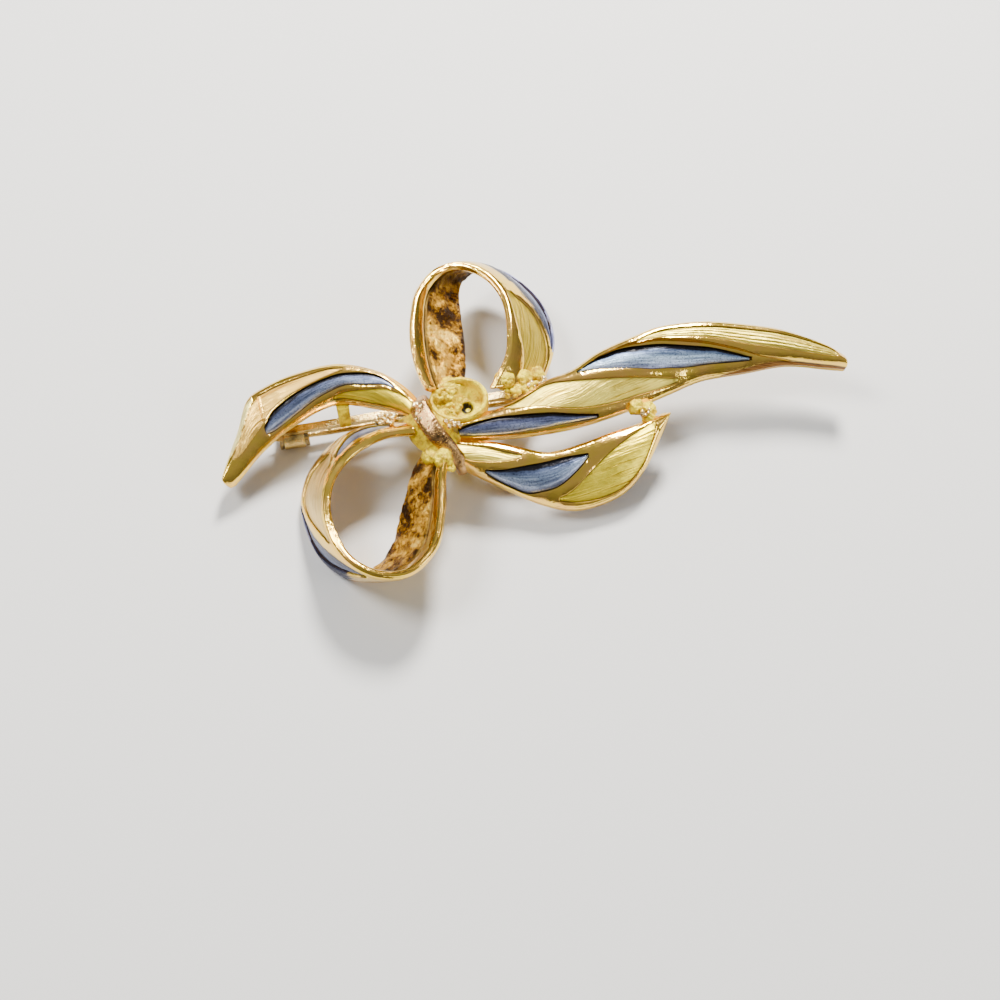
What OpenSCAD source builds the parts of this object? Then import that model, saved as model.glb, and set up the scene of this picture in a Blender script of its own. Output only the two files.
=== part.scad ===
// Ribbon bow brooch, gold plated, with enamel stripes and a bar pin behind it.
// It lies on its back: +X runs along the long tail, +Y past the upper loop, +Z away from the wearer.

/* [Bow] */
// Reach of the long tail from the knot
long_reach = 53; // [46:1:62]
// Sideways sweep of the long tail
long_sweep = 10; // [8:0.5:12]
// Height of the long tail's crest
long_rise = 8.5; // [8:0.1:10]
// Reach of the short tail from the knot
short_reach = 29; // [25:1:34]
// Sideways sweep of the short tail
short_sweep = 12.5; // [11:0.5:14]
// Height of the short tail at the knot
short_rise = 6; // [5.5:0.1:7]
// Reach of the left tail from the knot
left_reach = 27; // [24:0.5:31]
// Sideways sweep of the left tail
left_sweep = 10; // [9:0.5:12]
// Height of the left tail's crest
left_rise = 8; // [7.8:0.1:9]
// Width of the upper loop
upper_wide = 18; // [16:0.5:21]
// Reach of the upper loop from the knot
upper_reach = 25; // [22:0.5:29]
// Height of the upper loop's front rim
upper_rise = 9; // [8:0.1:11]
// Width of the lower loop
lower_wide = 18; // [16:0.5:21]
// Reach of the lower loop from the knot
lower_reach = 20; // [18:0.5:23]
// Height of the lower loop's front rim
lower_rise = 7.5; // [7:0.1:9]
// Wall of the tails
tail_wall = 1.3; // [1.2:0.05:1.6]
// Wall of the loops
loop_wall = 1.1; // [1:0.05:1.3]
// Crown of the tails across their width
tail_crown = 0.9; // [0.5:0.05:1.1]
// Crown of the loops across their width
loop_crown = 0.25; // [0.1:0.05:0.4]
// How far the folded end of the long tail stands proud
fold_step = 0.5; // [0.3:0.05:0.7]

/* [Fields] */
// Depth of the satin fields under the polished rims
satin_depth = 0.2; // [0.1:0.05:0.3]
// Depth of the pockets that hold the enamel
pocket_depth = 0.7; // [0.6:0.05:0.8]
// Depth of the enamel's edge under the rims
enamel_sink = 0.3; // [0.2:0.05:0.35]
// Dome of the enamel between its edges
enamel_dome = 0.12; // [0:0.02:0.2]
// Gap round the enamel and under it
enamel_gap = 0.04; // [0.02:0.01:0.08]

/* [Knot] */
// Half length of the band over the knot, across the brooch
knot_reach = 5; // [4.5:0.1:5.5]
// Height of the band's top over the tables
knot_rise = 8.5; // [8:0.1:9]
// Width of the band over the knot
knot_wide = 2.4; // [2:0.1:3]
// Thickness of the band over the knot
knot_thick = 1.5; // [1.2:0.1:2]
// Radius of the solder beads
solder_r = 1.3; // [1.2:0.05:1.5]
// Radius of the hollow ring beside the knot
ring_r = 3.7; // [3.2:0.1:4.2]
// Wall of the hollow ring
ring_wall = 0.7; // [0.5:0.05:0.9]
// Depth of the hollow ring
ring_deep = 2.4; // [2:0.1:2.8]

/* [Pin] */
// Height of the stem's axis over the surface that the brooch lies on
pin_z = 1.32; // [1.32:0.02:1.8]
// Place of the pin line from the knot, across the brooch
pin_side = 5.2; // [4.8:0.1:5.6]
// Place of the hinge from the knot
hinge_along = 19; // [17:0.5:21]
// Place of the catch's outer face from the knot
catch_along = 19; // [18:0.5:21]
// Radius of the stem
stem_r = 0.4; // [0.35:0.01:0.45]
// Radius of the stem's end inside the catch
stem_end_r = 0.34; // [0.3:0.01:0.36]
// Length of the stem past the catch
stem_past = 1.8; // [1:0.1:3]
// Length of the sharpened point
point_len = 2.2; // [1.5:0.1:3]
// Length of the taper from the stem down to its end in the catch
taper_len = 1.6; // [1.2:0.1:2]
// Width of the back bar
bar_wide = 1; // [0.9:0.05:1.4]
// Thickness of the back bar
bar_thick = 0.6; // [0.5:0.05:0.8]
// Gap between the stem's axis and the bar
bar_gap = 1.5; // [1.45:0.05:1.7]
// Radius of the rivet through the hinge
rivet_r = 0.4; // [0.35:0.01:0.5]
// Radius of the rivet's heads
rivet_head_r = 0.7; // [0.6:0.05:0.9]
// Thickness of the rivet's heads
rivet_head = 0.3; // [0.2:0.05:0.4]
// Thickness of each hinge ear
ear_thick = 0.5; // [0.4:0.05:0.7]
// Radius of the hinge ears
ear_r = 1.3; // [1.2:0.05:1.35]
// Radius of the stem's eye
eye_r = 1; // [0.9:0.05:1.05]
// Width of the stem's eye
eye_wide = 1.2; // [1:0.05:1.4]
// Half the width of the stem's squared neck beside its eye
neck_r = 0.55; // [0.5:0.01:0.6]
// Length of the neck, from the rivet
neck_len = 2.8; // [2.4:0.1:3.6]
// Outer radius of the catch's sleeve
sleeve_r = 1.4; // [1.35:0.01:1.4]
// Wall of the catch's sleeve
sleeve_wall = 0.35; // [0.3:0.01:0.4]
// Length of the catch's sleeve
sleeve_len = 2.6; // [2:0.1:3.2]
// Inner radius of the catch's turning tube
tube_r = 0.55; // [0.5:0.01:0.6]
// Radius of the turning tube's collars
collar_r = 1.3; // [1.25:0.01:1.35]
// Thickness of the turning tube's collars
collar_thick = 0.5; // [0.4:0.05:0.7]
// Length of the thumb lever past the collar
lever_len = 0.9; // [0.6:0.1:1.2]
// Thickness of the thumb lever
lever_thick = 0.5; // [0.4:0.05:0.6]
// Slot that lets the stem out of the catch
slot_wide = 0.95; // [0.9:0.01:1]
// Running gap of the hinge and the catch, on the radius
run_gap = 0.05; // [0.03:0.01:0.08]
// Gap at the sides of turning pieces
side_gap = 0.08; // [0.05:0.01:0.15]
// Gap where a riveted or soldered piece sits
seat_gap = 0.02; // [0.01:0.01:0.04]
// Place of the strap that holds the bar under the left tail
strap_along = 11; // [9:0.5:12]
// Width of the straps that hold the bar
strap_wide = 1.6; // [1.2:0.1:2]
// Each strap across the bar
strap_deep = 2; // [1.6:0.1:2.4]
// Place of the strap that holds the bar under the long tail
strap_right = 13.5; // [12:0.5:15]

/* [Hidden] */

gold = [0.88, 0.74, 0.42];
blue = [0.30, 0.35, 0.52];
steel = [0.80, 0.72, 0.50];

// Place of the knot in the brooch's own frame, whose origin is under the middle of its box
knot_at = [-12.8, -2.43, 0];
// The bow stands this far over its tables, so that the bar passes under it
lift = 0.6;

// Rows of the ribbons: near edge x, y, z and far edge x, y, z as shares of reach, sweep and rise
long_rows = [
    [0.03, 0.06, 0.71, 0.03, -0.17, 0.70],
    [0.10, 0.09, 0.74, 0.10, -0.23, 0.67],
    [0.18, 0.15, 0.78, 0.18, -0.27, 0.65],
    [0.27, 0.35, 0.83, 0.27, -0.28, 0.63],
    [0.34, 0.42, 0.88, 0.34, -0.25, 0.60],
    [0.41, 0.58, 0.94, 0.41, -0.19, 0.59],
    [0.50, 0.69, 1.00, 0.50, -0.09, 0.59],
    [0.57, 0.77, 1.00, 0.57, 0.01, 0.59],
    [0.67, 0.74, 1.00, 0.65, 0.11, 0.59],
    [0.77, 0.63, 0.94, 0.75, 0.11, 0.60],
    [0.86, 0.48, 0.88, 0.85, 0.10, 0.63],
    [0.95, 0.24, 0.77, 0.94, -0.03, 0.64],
    [0.995, 0.04, 0.70, 0.99, -0.10, 0.62]];
short_rows = [
    [0.02, -0.14, 1.00, 0.02, -0.33, 0.80],
    [0.10, -0.20, 1.00, 0.07, -0.42, 0.73],
    [0.22, -0.27, 1.00, 0.15, -0.55, 0.65],
    [0.33, -0.38, 0.97, 0.26, -0.71, 0.50],
    [0.43, -0.47, 0.92, 0.38, -0.87, 0.33],
    [0.52, -0.47, 0.92, 0.50, -0.97, 0.25],
    [0.62, -0.43, 0.92, 0.62, -0.97, 0.25],
    [0.73, -0.37, 0.92, 0.75, -0.89, 0.35],
    [0.84, -0.31, 0.87, 0.86, -0.69, 0.55],
    [0.93, -0.25, 0.84, 0.95, -0.42, 0.68],
    [1.00, -0.21, 0.83, 1.00, -0.25, 0.80]];
left_rows = [
    [0.05, 0.20, 0.90, 0.07, 0.06, 0.78],
    [0.08, 0.36, 0.94, 0.10, 0.18, 0.78],
    [0.13, 0.58, 0.97, 0.17, 0.32, 0.76],
    [0.22, 0.81, 1.00, 0.27, 0.45, 0.73],
    [0.35, 0.98, 1.00, 0.40, 0.60, 0.68],
    [0.46, 1.03, 1.00, 0.50, 0.58, 0.67],
    [0.62, 1.01, 0.94, 0.62, 0.46, 0.65],
    [0.74, 0.94, 0.88, 0.72, 0.34, 0.59],
    [0.84, 0.81, 0.81, 0.82, 0.17, 0.50],
    [0.90, 0.52, 0.60, 0.89, 0.03, 0.42],
    [0.96, 0.26, 0.42, 0.95, -0.08, 0.34],
    [1.01, 0.01, 0.31, 0.99, -0.12, 0.28]];
upper_rows = [
    [-0.04, 0.17, 0.89, 0.21, 0.20, 0.50],
    [-0.08, 0.28, 0.95, 0.25, 0.32, 0.42],
    [-0.09, 0.42, 1.00, 0.29, 0.50, 0.39],
    [-0.06, 0.57, 1.00, 0.31, 0.70, 0.39],
    [0.02, 0.74, 1.00, 0.34, 0.87, 0.39],
    [0.17, 0.86, 1.00, 0.43, 0.96, 0.39],
    [0.33, 0.89, 1.00, 0.57, 1.00, 0.39],
    [0.46, 0.86, 1.00, 0.76, 0.92, 0.39],
    [0.58, 0.77, 1.00, 0.90, 0.78, 0.39],
    [0.65, 0.63, 1.00, 0.97, 0.64, 0.39],
    [0.64, 0.45, 1.00, 0.98, 0.49, 0.39],
    [0.58, 0.28, 0.95, 0.93, 0.36, 0.41],
    [0.43, 0.13, 0.84, 0.82, 0.21, 0.46]];
lower_rows = [
    [0.15, 0.02, 1.00, 0.20, -0.14, 0.55],
    [0.35, 0.01, 1.00, 0.55, -0.18, 0.40],
    [0.57, 0.08, 1.00, 0.74, -0.13, 0.27],
    [0.74, 0.21, 1.00, 0.90, -0.01, 0.18],
    [0.83, 0.37, 1.00, 0.99, 0.12, 0.09],
    [0.85, 0.54, 1.00, 1.02, 0.27, 0.02],
    [0.82, 0.71, 1.00, 0.99, 0.47, -0.04],
    [0.72, 0.88, 1.00, 0.91, 0.64, -0.07],
    [0.55, 0.99, 1.00, 0.77, 0.76, -0.07],
    [0.34, 1.00, 1.00, 0.61, 0.78, -0.04],
    [0.15, 0.86, 1.00, 0.43, 0.66, 0.06],
    [0.05, 0.62, 1.00, 0.32, 0.47, 0.24],
    [0.00, 0.38, 1.00, 0.22, 0.28, 0.40],
    [-0.05, 0.26, 0.95, 0.10, 0.12, 0.55]];

// Rows of the enamel and satin fields: place along the ribbon, near side and far side across it
left_enamel = [
    [0.20, 0.16, 0.20], [0.25, 0.10, 0.27], [0.30, 0.11, 0.40], [0.35, 0.18, 0.48], [0.41, 0.25, 0.58],
    [0.47, 0.33, 0.68], [0.53, 0.42, 0.80], [0.59, 0.51, 0.86], [0.64, 0.57, 0.87], [0.68, 0.70, 0.82]];
left_peach = [
    [0.38, 0.05, 0.10], [0.45, 0.09, 0.24], [0.52, 0.12, 0.35], [0.58, 0.12, 0.42], [0.64, 0.11, 0.50],
    [0.68, 0.10, 0.60]];
left_pale = [
    [0.04, 0.12, 0.88], [0.10, 0.17, 0.90], [0.18, 0.28, 0.88], [0.24, 0.38, 0.88], [0.29, 0.53, 0.88],
    [0.35, 0.66, 0.87], [0.41, 0.78, 0.86]];
long_low = [
    [0.02, 0.68, 0.86], [0.05, 0.52, 0.88], [0.09, 0.42, 0.89], [0.135, 0.39, 0.90], [0.18, 0.50, 0.90],
    [0.225, 0.63, 0.90], [0.27, 0.72, 0.90], [0.33, 0.82, 0.92], [0.38, 0.91, 0.95]];
long_mid = [
    [0.15, 0.07, 0.11], [0.20, 0.08, 0.36], [0.26, 0.10, 0.58], [0.33, 0.20, 0.70], [0.39, 0.36, 0.78],
    [0.44, 0.48, 0.82], [0.49, 0.60, 0.84], [0.55, 0.73, 0.87], [0.60, 0.83, 0.88]];
long_high = [
    [0.345, 0.05, 0.09], [0.38, 0.05, 0.17], [0.42, 0.08, 0.28], [0.46, 0.10, 0.38], [0.52, 0.19, 0.53],
    [0.58, 0.28, 0.63], [0.63, 0.38, 0.71], [0.68, 0.47, 0.74], [0.72, 0.57, 0.75], [0.76, 0.70, 0.75]];
long_top = [
    [0.50, 0.05, 0.08], [0.58, 0.06, 0.16], [0.66, 0.08, 0.25], [0.73, 0.10, 0.36], [0.80, 0.12, 0.48],
    [0.87, 0.14, 0.55], [0.93, 0.18, 0.48], [0.96, 0.25, 0.35]];
// Edge of the folded end: place along, and the top and foot of its step across
long_fold = [
    [0.36, 0.01, 0.03], [0.42, 0.03, 0.05], [0.48, 0.06, 0.08], [0.54, 0.12, 0.14], [0.616, 0.24, 0.26],
    [0.678, 0.36, 0.38], [0.736, 0.50, 0.52], [0.78, 0.68, 0.70], [0.86, 0.88, 0.90], [1.00, 0.90, 0.92]];
short_knot = [
    [0.03, 0.14, 0.40], [0.07, 0.12, 0.50], [0.12, 0.13, 0.60], [0.17, 0.16, 0.58], [0.24, 0.17, 0.42],
    [0.31, 0.13, 0.18]];
short_enamel = [
    [0.205, 0.77, 0.83], [0.25, 0.64, 0.88], [0.30, 0.45, 0.90], [0.35, 0.28, 0.88], [0.40, 0.17, 0.73],
    [0.46, 0.12, 0.58], [0.52, 0.12, 0.40], [0.59, 0.16, 0.21]];
short_leaf = [
    [0.46, 0.80, 0.84], [0.50, 0.70, 0.86], [0.56, 0.52, 0.88], [0.62, 0.37, 0.90], [0.68, 0.26, 0.91],
    [0.74, 0.20, 0.90], [0.80, 0.16, 0.84], [0.85, 0.16, 0.60], [0.885, 0.18, 0.28]];
lower_front = [
    [0.03, 0.45, 0.85], [0.06, 0.30, 0.88], [0.09, 0.24, 0.78], [0.13, 0.28, 0.66], [0.165, 0.24, 0.48],
    [0.20, 0.17, 0.27]];
lower_pale = [
    [0.19, 0.45, 0.55], [0.22, 0.28, 0.68], [0.28, 0.14, 0.78], [0.34, 0.12, 0.80], [0.39, 0.12, 0.62],
    [0.43, 0.10, 0.32], [0.46, 0.08, 0.14]];
lower_side = [
    [0.37, 0.86, 0.90], [0.40, 0.80, 0.91], [0.44, 0.64, 0.91], [0.47, 0.46, 0.90], [0.50, 0.28, 0.86],
    [0.53, 0.16, 0.72], [0.56, 0.10, 0.45], [0.59, 0.09, 0.16]];
upper_enamel = [
    [0.50, 0.88, 0.92], [0.55, 0.80, 0.91], [0.60, 0.68, 0.91], [0.65, 0.62, 0.90], [0.69, 0.60, 0.90],
    [0.73, 0.66, 0.90], [0.77, 0.74, 0.91], [0.81, 0.81, 0.91], [0.85, 0.85, 0.92], [0.89, 0.89, 0.92]];
upper_satin = [
    [0.725, 0.10, 0.18], [0.775, 0.11, 0.50], [0.815, 0.14, 0.65], [0.855, 0.20, 0.74], [0.895, 0.28, 0.80],
    [0.95, 0.40, 0.85], [0.98, 0.50, 0.87]];

// Rows of the band over the knot: x and y of its middle as shares of knot_reach, z as a share of knot_rise,
// and its width as a share of knot_wide
knot_rows = [
    [-0.24, 0.92, 0.59, 0.8], [-0.30, 0.78, 0.80, 1.0], [-0.34, 0.54, 0.94, 1.05], [-0.30, 0.24, 1.00, 1.05],
    [-0.20, -0.08, 1.00, 1.0], [-0.04, -0.38, 0.94, 0.95], [0.18, -0.66, 0.84, 0.85], [0.36, -0.88, 0.69, 0.8],
    [0.46, -1.00, 0.54, 0.7], [0.38, -0.92, 0.42, 0.6]];
// Rows of the solder beads: the ribbon in ribbons, place along it and across it, and radius as a share of solder_r
solder_rows = [
    [3, 0.98, 0.80, 1.0], [3, 0.98, 0.50, 1.0], [3, 0.98, 0.20, 0.95], [3, 0.02, 0.60, 0.95], [4, 0.98, 0.15, 0.9],
    [4, 0.99, 0.60, 1.0], [4, 0.00, 0.80, 0.95], [1, 0.88, -0.10, 0.7], [1, 0.90, -0.50, 0.75], [1, 0.84, -0.50, 0.7]];

// A ribbon is its rows, its sizes, its crown, the side it faces, its wall and its fields from the near edge
// over. A field is its rows, its depth, and 1 where it lies on the folded end; a depth of 0 is the fold's step.
long_tail = [long_rows, [long_reach, long_sweep, long_rise], tail_crown, 1, tail_wall,
    [[long_top, satin_depth, 1], [long_fold, 0, 1], [long_high, pocket_depth, 0], [long_mid, satin_depth, 0],
     [long_low, pocket_depth, 0]]];
short_tail = [short_rows, [short_reach, short_sweep, short_rise], tail_crown, 1, tail_wall,
    [[short_knot, satin_depth, 0], [short_enamel, pocket_depth, 0], [short_leaf, satin_depth, 0]]];
left_tail = [left_rows, [-left_reach, left_sweep, left_rise], tail_crown, -1, tail_wall,
    [[left_peach, satin_depth, 0], [left_enamel, pocket_depth, 0], [left_pale, satin_depth, 0]]];
upper_loop = [upper_rows, [upper_wide, upper_reach, upper_rise], loop_crown, -1, loop_wall,
    [[upper_satin, satin_depth, 0], [upper_enamel, pocket_depth, 0]]];
lower_loop = [lower_rows, [-lower_wide, -lower_reach, lower_rise], loop_crown, 1, loop_wall,
    [[lower_front, pocket_depth, 0], [lower_pale, satin_depth, 0], [lower_side, pocket_depth, 0]]];

ribbons = [long_tail, short_tail, left_tail, upper_loop, lower_loop];

along_steps = 32;
edge_round = 0.3;
edge_share = 0.05;
side_slope = 0.12;
under = [0, 0.06, 0.27, 0.5, 0.73, 0.94, 1];
tube_out = sleeve_r - sleeve_wall - run_gap;
bar_low = pin_z + bar_gap;
bar_top = bar_low + bar_thick;
ear_out = eye_wide / 2 + side_gap + ear_thick;
catch_in = catch_along - sleeve_len;

// Curve through the rows, with the place counted in rows
function row(rows, i) = i < 0 ? 2 * rows[0] - rows[1]
    : i > len(rows) - 1 ? 2 * rows[len(rows) - 1] - rows[len(rows) - 2] : rows[i];
function spline(rows, t) = let (i = min(floor(t), len(rows) - 2), f = t - i,
    a = row(rows, i - 1), b = row(rows, i), c = row(rows, i + 1), d = row(rows, i + 2))
    (2 * b + (c - a) * f + (2 * a - 5 * b + 4 * c - d) * f * f + (3 * b - a - 3 * c + d) * f * f * f) / 2;
// Both edges of a ribbon at a place from 0 to 1 along it
function edges(rib, u) = let (r = spline(rib[0], u * (len(rib[0]) - 1)), s = rib[1])
    [[r[0] * s.x, r[1] * s.y, r[2] * s.z + lift], [r[3] * s.x, r[4] * s.y, r[5] * s.z + lift]];
function flat(rib, u, v) = let (e = edges(rib, u)) e[0] * (1 - v) + e[1] * v;
function unit(v) = v / norm(v);
function facing(rib, u, v) = let (e = edges(rib, u), step = 0.002,
    t = flat(rib, min(u + step, 1), v) - flat(rib, max(u - step, 0), v))
    unit(cross(e[1] - e[0], t)) * rib[3];
// Point of a ribbon: u along, v across, h over its crowned face
function over(rib, u, v, h) = flat(rib, u, v) + facing(rib, u, v) * (rib[2] * sin(180 * v) + h);
function turned(rib, grid) = rib[3] > 0 ? grid : [for (r = grid) [for (j = [len(r) - 1:-1:0]) r[j]]];

// Near and far side of a field at a place along its ribbon, held at its ends
function sides(rows, u) = let (last = len(rows) - 1, w = min(max(u, rows[0][0]), rows[last][0]),
    i = max([for (k = [0:last - 1]) w >= rows[k][0] ? k : 0]),
    r = spline(rows, i + (w - rows[i][0]) / (rows[i + 1][0] - rows[i][0]))) [r[1], r[2]];
function inside(rows, u) = u > rows[0][0] && u < rows[len(rows) - 1][0];
// Height of the folded end over the rest of its ribbon, rising over the first rows of its step
function proud(rib, u) = let (fold = [for (f = rib[5]) if (f[1] == 0) f[0]])
    len(fold) == 0 ? 0 : fold_step * min(max((u - fold[0][0][0]) / (fold[0][2][0] - fold[0][0][0]), 0), 1);
// Places and heights across a ribbon that one field takes, its two walls and its floor, and 1 where the field is
function field_columns(rib, f, u) = let (e = edges(rib, u), slope = side_slope / norm(e[1] - e[0]),
    base = f[2] * proud(rib, u), r = sides(f[0], u), on = inside(f[0], u) ? 1 : 0, deep = on * f[1])
    f[1] == 0 ? [[r[0], base, on], [r[0] + slope, 0, on]]
    : [[r[0] - slope, base, on], [r[0], base - deep, on], [(2 * r[0] + r[1]) / 3, base - deep, on],
       [(r[0] + 2 * r[1]) / 3, base - deep, on], [r[1], base - deep, on], [r[1] + slope, base, on]];
// A field that has ended makes room for the one after it
function make_room(cols) = let (last = len(cols) - 1,
    back = [for (i = last, v = cols[last][0]; i >= 0;
        i = i - 1, v = i < 0 ? v : cols[i][2] > 0 ? cols[i][0] : min(v - 0.002, cols[i][0])) [v, cols[i][1]]])
    [for (i = [last:-1:0]) back[i]];
// Each place across is kept a little past the one before it, so fields that have ended take no width
function in_order(cols) = [for (i = 0, v = cols[0][0]; i < len(cols);
    i = i + 1, v = i < len(cols) ? max(v + 0.002, cols[i][0]) : v) [min(v, 1 - 0.002 * (len(cols) - 1 - i)), cols[i][1]]];
function columns(rib, u) = in_order(make_room([[0, proud(rib, u) - edge_round, 1], [edge_share, proud(rib, u), 1],
    for (f = rib[5]) each field_columns(rib, f, u), [1 - edge_share, 0, 1], [1, -edge_round, 1]]));
// Where the columns of one field start among all of them
function first_column(rib, k) = k == 0 ? 2 : first_column(rib, k - 1) + (rib[5][k - 1][1] == 0 ? 2 : 6);

// Closed solid between an upper and a lower grid of points, with as many rows but not as many columns
module slab(top, low) {
    nu = len(top);
    nt = len(top[0]);
    nl = len(low[0]);
    function t(i, j) = i * nt + j;
    function l(i, j) = nu * nt + i * nl + j;
    function under_it(j) = round(j * (nl - 1) / (nt - 1));
    function quad(a, b, c, d) = [[a, b, d], [b, c, d]];
    faces = [
        for (i = [0:nu - 2], j = [0:nt - 2]) each quad(t(i, j), t(i + 1, j), t(i + 1, j + 1), t(i, j + 1)),
        for (i = [0:nu - 2], j = [0:nl - 2]) each quad(l(i, j + 1), l(i + 1, j + 1), l(i + 1, j), l(i, j)),
        for (i = [0:nu - 2]) each quad(t(i + 1, 0), t(i, 0), l(i, 0), l(i + 1, 0)),
        for (i = [0:nu - 2]) each quad(t(i, nt - 1), t(i + 1, nt - 1), l(i + 1, nl - 1), l(i, nl - 1)),
        for (j = [0:nt - 2]) [t(0, j), t(0, j + 1), l(0, under_it(j))],
        for (j = [0:nt - 2]) if (under_it(j + 1) > under_it(j))
            [t(0, j + 1), l(0, under_it(j + 1)), l(0, under_it(j))],
        for (j = [0:nt - 2]) [t(nu - 1, j + 1), t(nu - 1, j), l(nu - 1, under_it(j))],
        for (j = [0:nt - 2]) if (under_it(j + 1) > under_it(j))
            [l(nu - 1, under_it(j + 1)), t(nu - 1, j + 1), l(nu - 1, under_it(j))]];
    polyhedron([for (r = top) each r, for (r = low) each r], faces, convexity = 8);
}

// A whole ribbon with softened edges, its fields sunk into its face
module ribbon(rib) {
    last = len(under) - 1;
    function soft(j) = j == 0 || j == last ? edge_round : 0;
    top = [for (i = [0:along_steps]) let (u = i / along_steps)
        [for (c = columns(rib, u)) over(rib, u, c[0], c[1])]];
    low = [for (i = [0:along_steps])
        [for (j = [0:last]) over(rib, i / along_steps, under[j], soft(j) - rib[4])]];
    slab(turned(rib, top), turned(rib, low));
}

// Enamel that fills one pocket of a ribbon
module enamel(rib, k) {
    rows = rib[5][k][0];
    start = first_column(rib, k) + 1;
    places = [for (i = [0:along_steps]) if (inside(rows, i / along_steps)) i / along_steps];
    function inset(rib, u, j) = let (c = columns(rib, u), e = edges(rib, u), g = enamel_gap / norm(e[1] - e[0]))
        c[start + j][0] + (j == 0 ? g : j == 3 ? -g : 0);
    top = [for (u = places) [for (j = [0:3])
        over(rib, u, inset(rib, u, j), (j % 3 == 0 ? 0 : enamel_dome) - enamel_sink)]];
    low = [for (u = places) [for (j = [0:3]) over(rib, u, inset(rib, u, j), enamel_gap - pocket_depth)]];
    color(blue) translate(knot_at) slab(turned(rib, top), turned(rib, low));
}

module knot_bead(r) {
    translate([r[0] * knot_reach, r[1] * knot_reach, r[2] * knot_rise]) rotate([0, 0, -28])
        scale([knot_wide / 2 * r[3], knot_thick / 2, knot_thick / 2]) sphere(1, $fn = 12);
}
// Band over the knot, one rounded length after another
module knot_band() {
    for (i = [0:len(knot_rows) - 2]) hull() {
        knot_bead(knot_rows[i]);
        knot_bead(knot_rows[i + 1]);
    }
}
// Ribbon ends packed under the band
module knot_core() {
    translate([-0.08 * knot_reach, 0.08 * knot_reach, 0.73 * knot_rise]) rotate([0, 0, 20])
        scale([0.64 * knot_reach, 0.84 * knot_reach, 0.2 * knot_rise]) sphere(1, $fn = 16);
}
// Hollow ring beside the knot, open to the front
module ring_cup() {
    translate([0.66 * knot_reach, 0.58 * knot_reach, 0.94 * knot_rise - ring_deep]) scale([1, 0.86, 1]) difference() {
        cylinder(h = ring_deep, r = ring_r, $fn = 28);
        translate([0, 0, ring_wall]) cylinder(h = ring_deep, r = ring_r - ring_wall, $fn = 28);
    }
}
module solder() {
    for (r = solder_rows) translate(over(ribbons[r[0]], r[1], r[2], -0.5 * solder_r))
        sphere(r[3] * solder_r, $fn = 8);
}
// Straps that carry the bar of the pin
module straps() {
    low = bar_top + seat_gap;
    hull() {
        translate([-strap_along - strap_wide / 2, pin_side - strap_deep / 2, low])
            cube([strap_wide, strap_deep, 0.3]);
        translate([-strap_along - strap_wide / 2, pin_side + 0.15 * strap_deep, lift + left_rise * 0.6])
            cube([strap_wide, strap_deep / 2, 0.2]);
    }
    hull() {
        translate([strap_right - strap_wide / 2, pin_side - strap_deep / 2, low])
            cube([strap_wide, strap_deep, 0.3]);
        translate([strap_right - strap_wide / 2, pin_side - 1.3 * strap_deep, lift + long_rise * 0.7])
            cube([strap_wide, 0.8 * strap_deep, 0.3]);
    }
}

module bow_casting() {
    color(gold) translate(knot_at) {
        for (rib = ribbons) ribbon(rib);
        knot_band();
        knot_core();
        ring_cup();
        solder();
        straps();
    }
}

module enamel_long_tail_high() enamel(long_tail, 2);
module enamel_long_tail_low() enamel(long_tail, 4);
module enamel_short_tail() enamel(short_tail, 1);
module enamel_left_tail() enamel(left_tail, 1);
module enamel_upper_loop() enamel(upper_loop, 1);
module enamel_lower_loop_front() enamel(lower_loop, 0);
module enamel_lower_loop_side() enamel(lower_loop, 2);

// Cylinder along the pin, from one place to another
module along(from, to, r1, r2) {
    translate([from, pin_side, pin_z]) rotate([0, 90, 0]) cylinder(h = to - from, r1 = r1, r2 = r2, $fn = 48);
}
// Cylinder across the pin, about the hinge
module cross_pin(wide, r) {
    translate([hinge_along, pin_side, pin_z]) rotate([90, 0, 0])
        cylinder(h = wide, r = r, center = true, $fn = 48);
}
// Slot that opens downwards from the pin line
module slot(from, to) {
    translate([from, pin_side - slot_wide / 2, pin_z - sleeve_r - 1])
        cube([to - from, slot_wide, sleeve_r + 1]);
}

// Back bar with the catch's sleeve at one end and the hinge's ears at the other
module pin_bar() {
    color(steel) translate(knot_at) difference() {
        union() {
            translate([-catch_along, pin_side - bar_wide / 2, bar_low])
                cube([catch_along + hinge_along + ear_r, bar_wide, bar_thick]);
            along(-catch_along, -catch_in, sleeve_r, sleeve_r);
            translate([-catch_along, pin_side - bar_wide / 3, pin_z + sleeve_r / 2])
                cube([sleeve_len, bar_wide * 2 / 3, bar_gap - sleeve_r / 2 + bar_thick / 2]);
            cross_pin(2 * ear_out, ear_r);
            translate([hinge_along - ear_r, pin_side - ear_out, pin_z])
                cube([2 * ear_r, 2 * ear_out, bar_gap + bar_thick / 2]);
        }
        along(-catch_along - 1, -catch_in + 1, sleeve_r - sleeve_wall, sleeve_r - sleeve_wall);
        slot(-catch_along - 1, -catch_in + 1);
        translate([hinge_along - 2 * ear_r, pin_side - eye_wide / 2 - side_gap, pin_z - 2 * ear_r])
            cube([4 * ear_r, eye_wide + 2 * side_gap, 2 * ear_r + bar_gap - 0.3]);
        cross_pin(4 * ear_out, rivet_r + seat_gap);
    }
}

module hinge_rivet() {
    color(steel) translate(knot_at) {
        cross_pin(2 * (ear_out + seat_gap + rivet_head), rivet_r);
        for (side = [-1, 1]) translate([0, side * (ear_out + seat_gap + rivet_head / 2), 0])
            cross_pin(rivet_head, rivet_head_r);
    }
}

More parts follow.
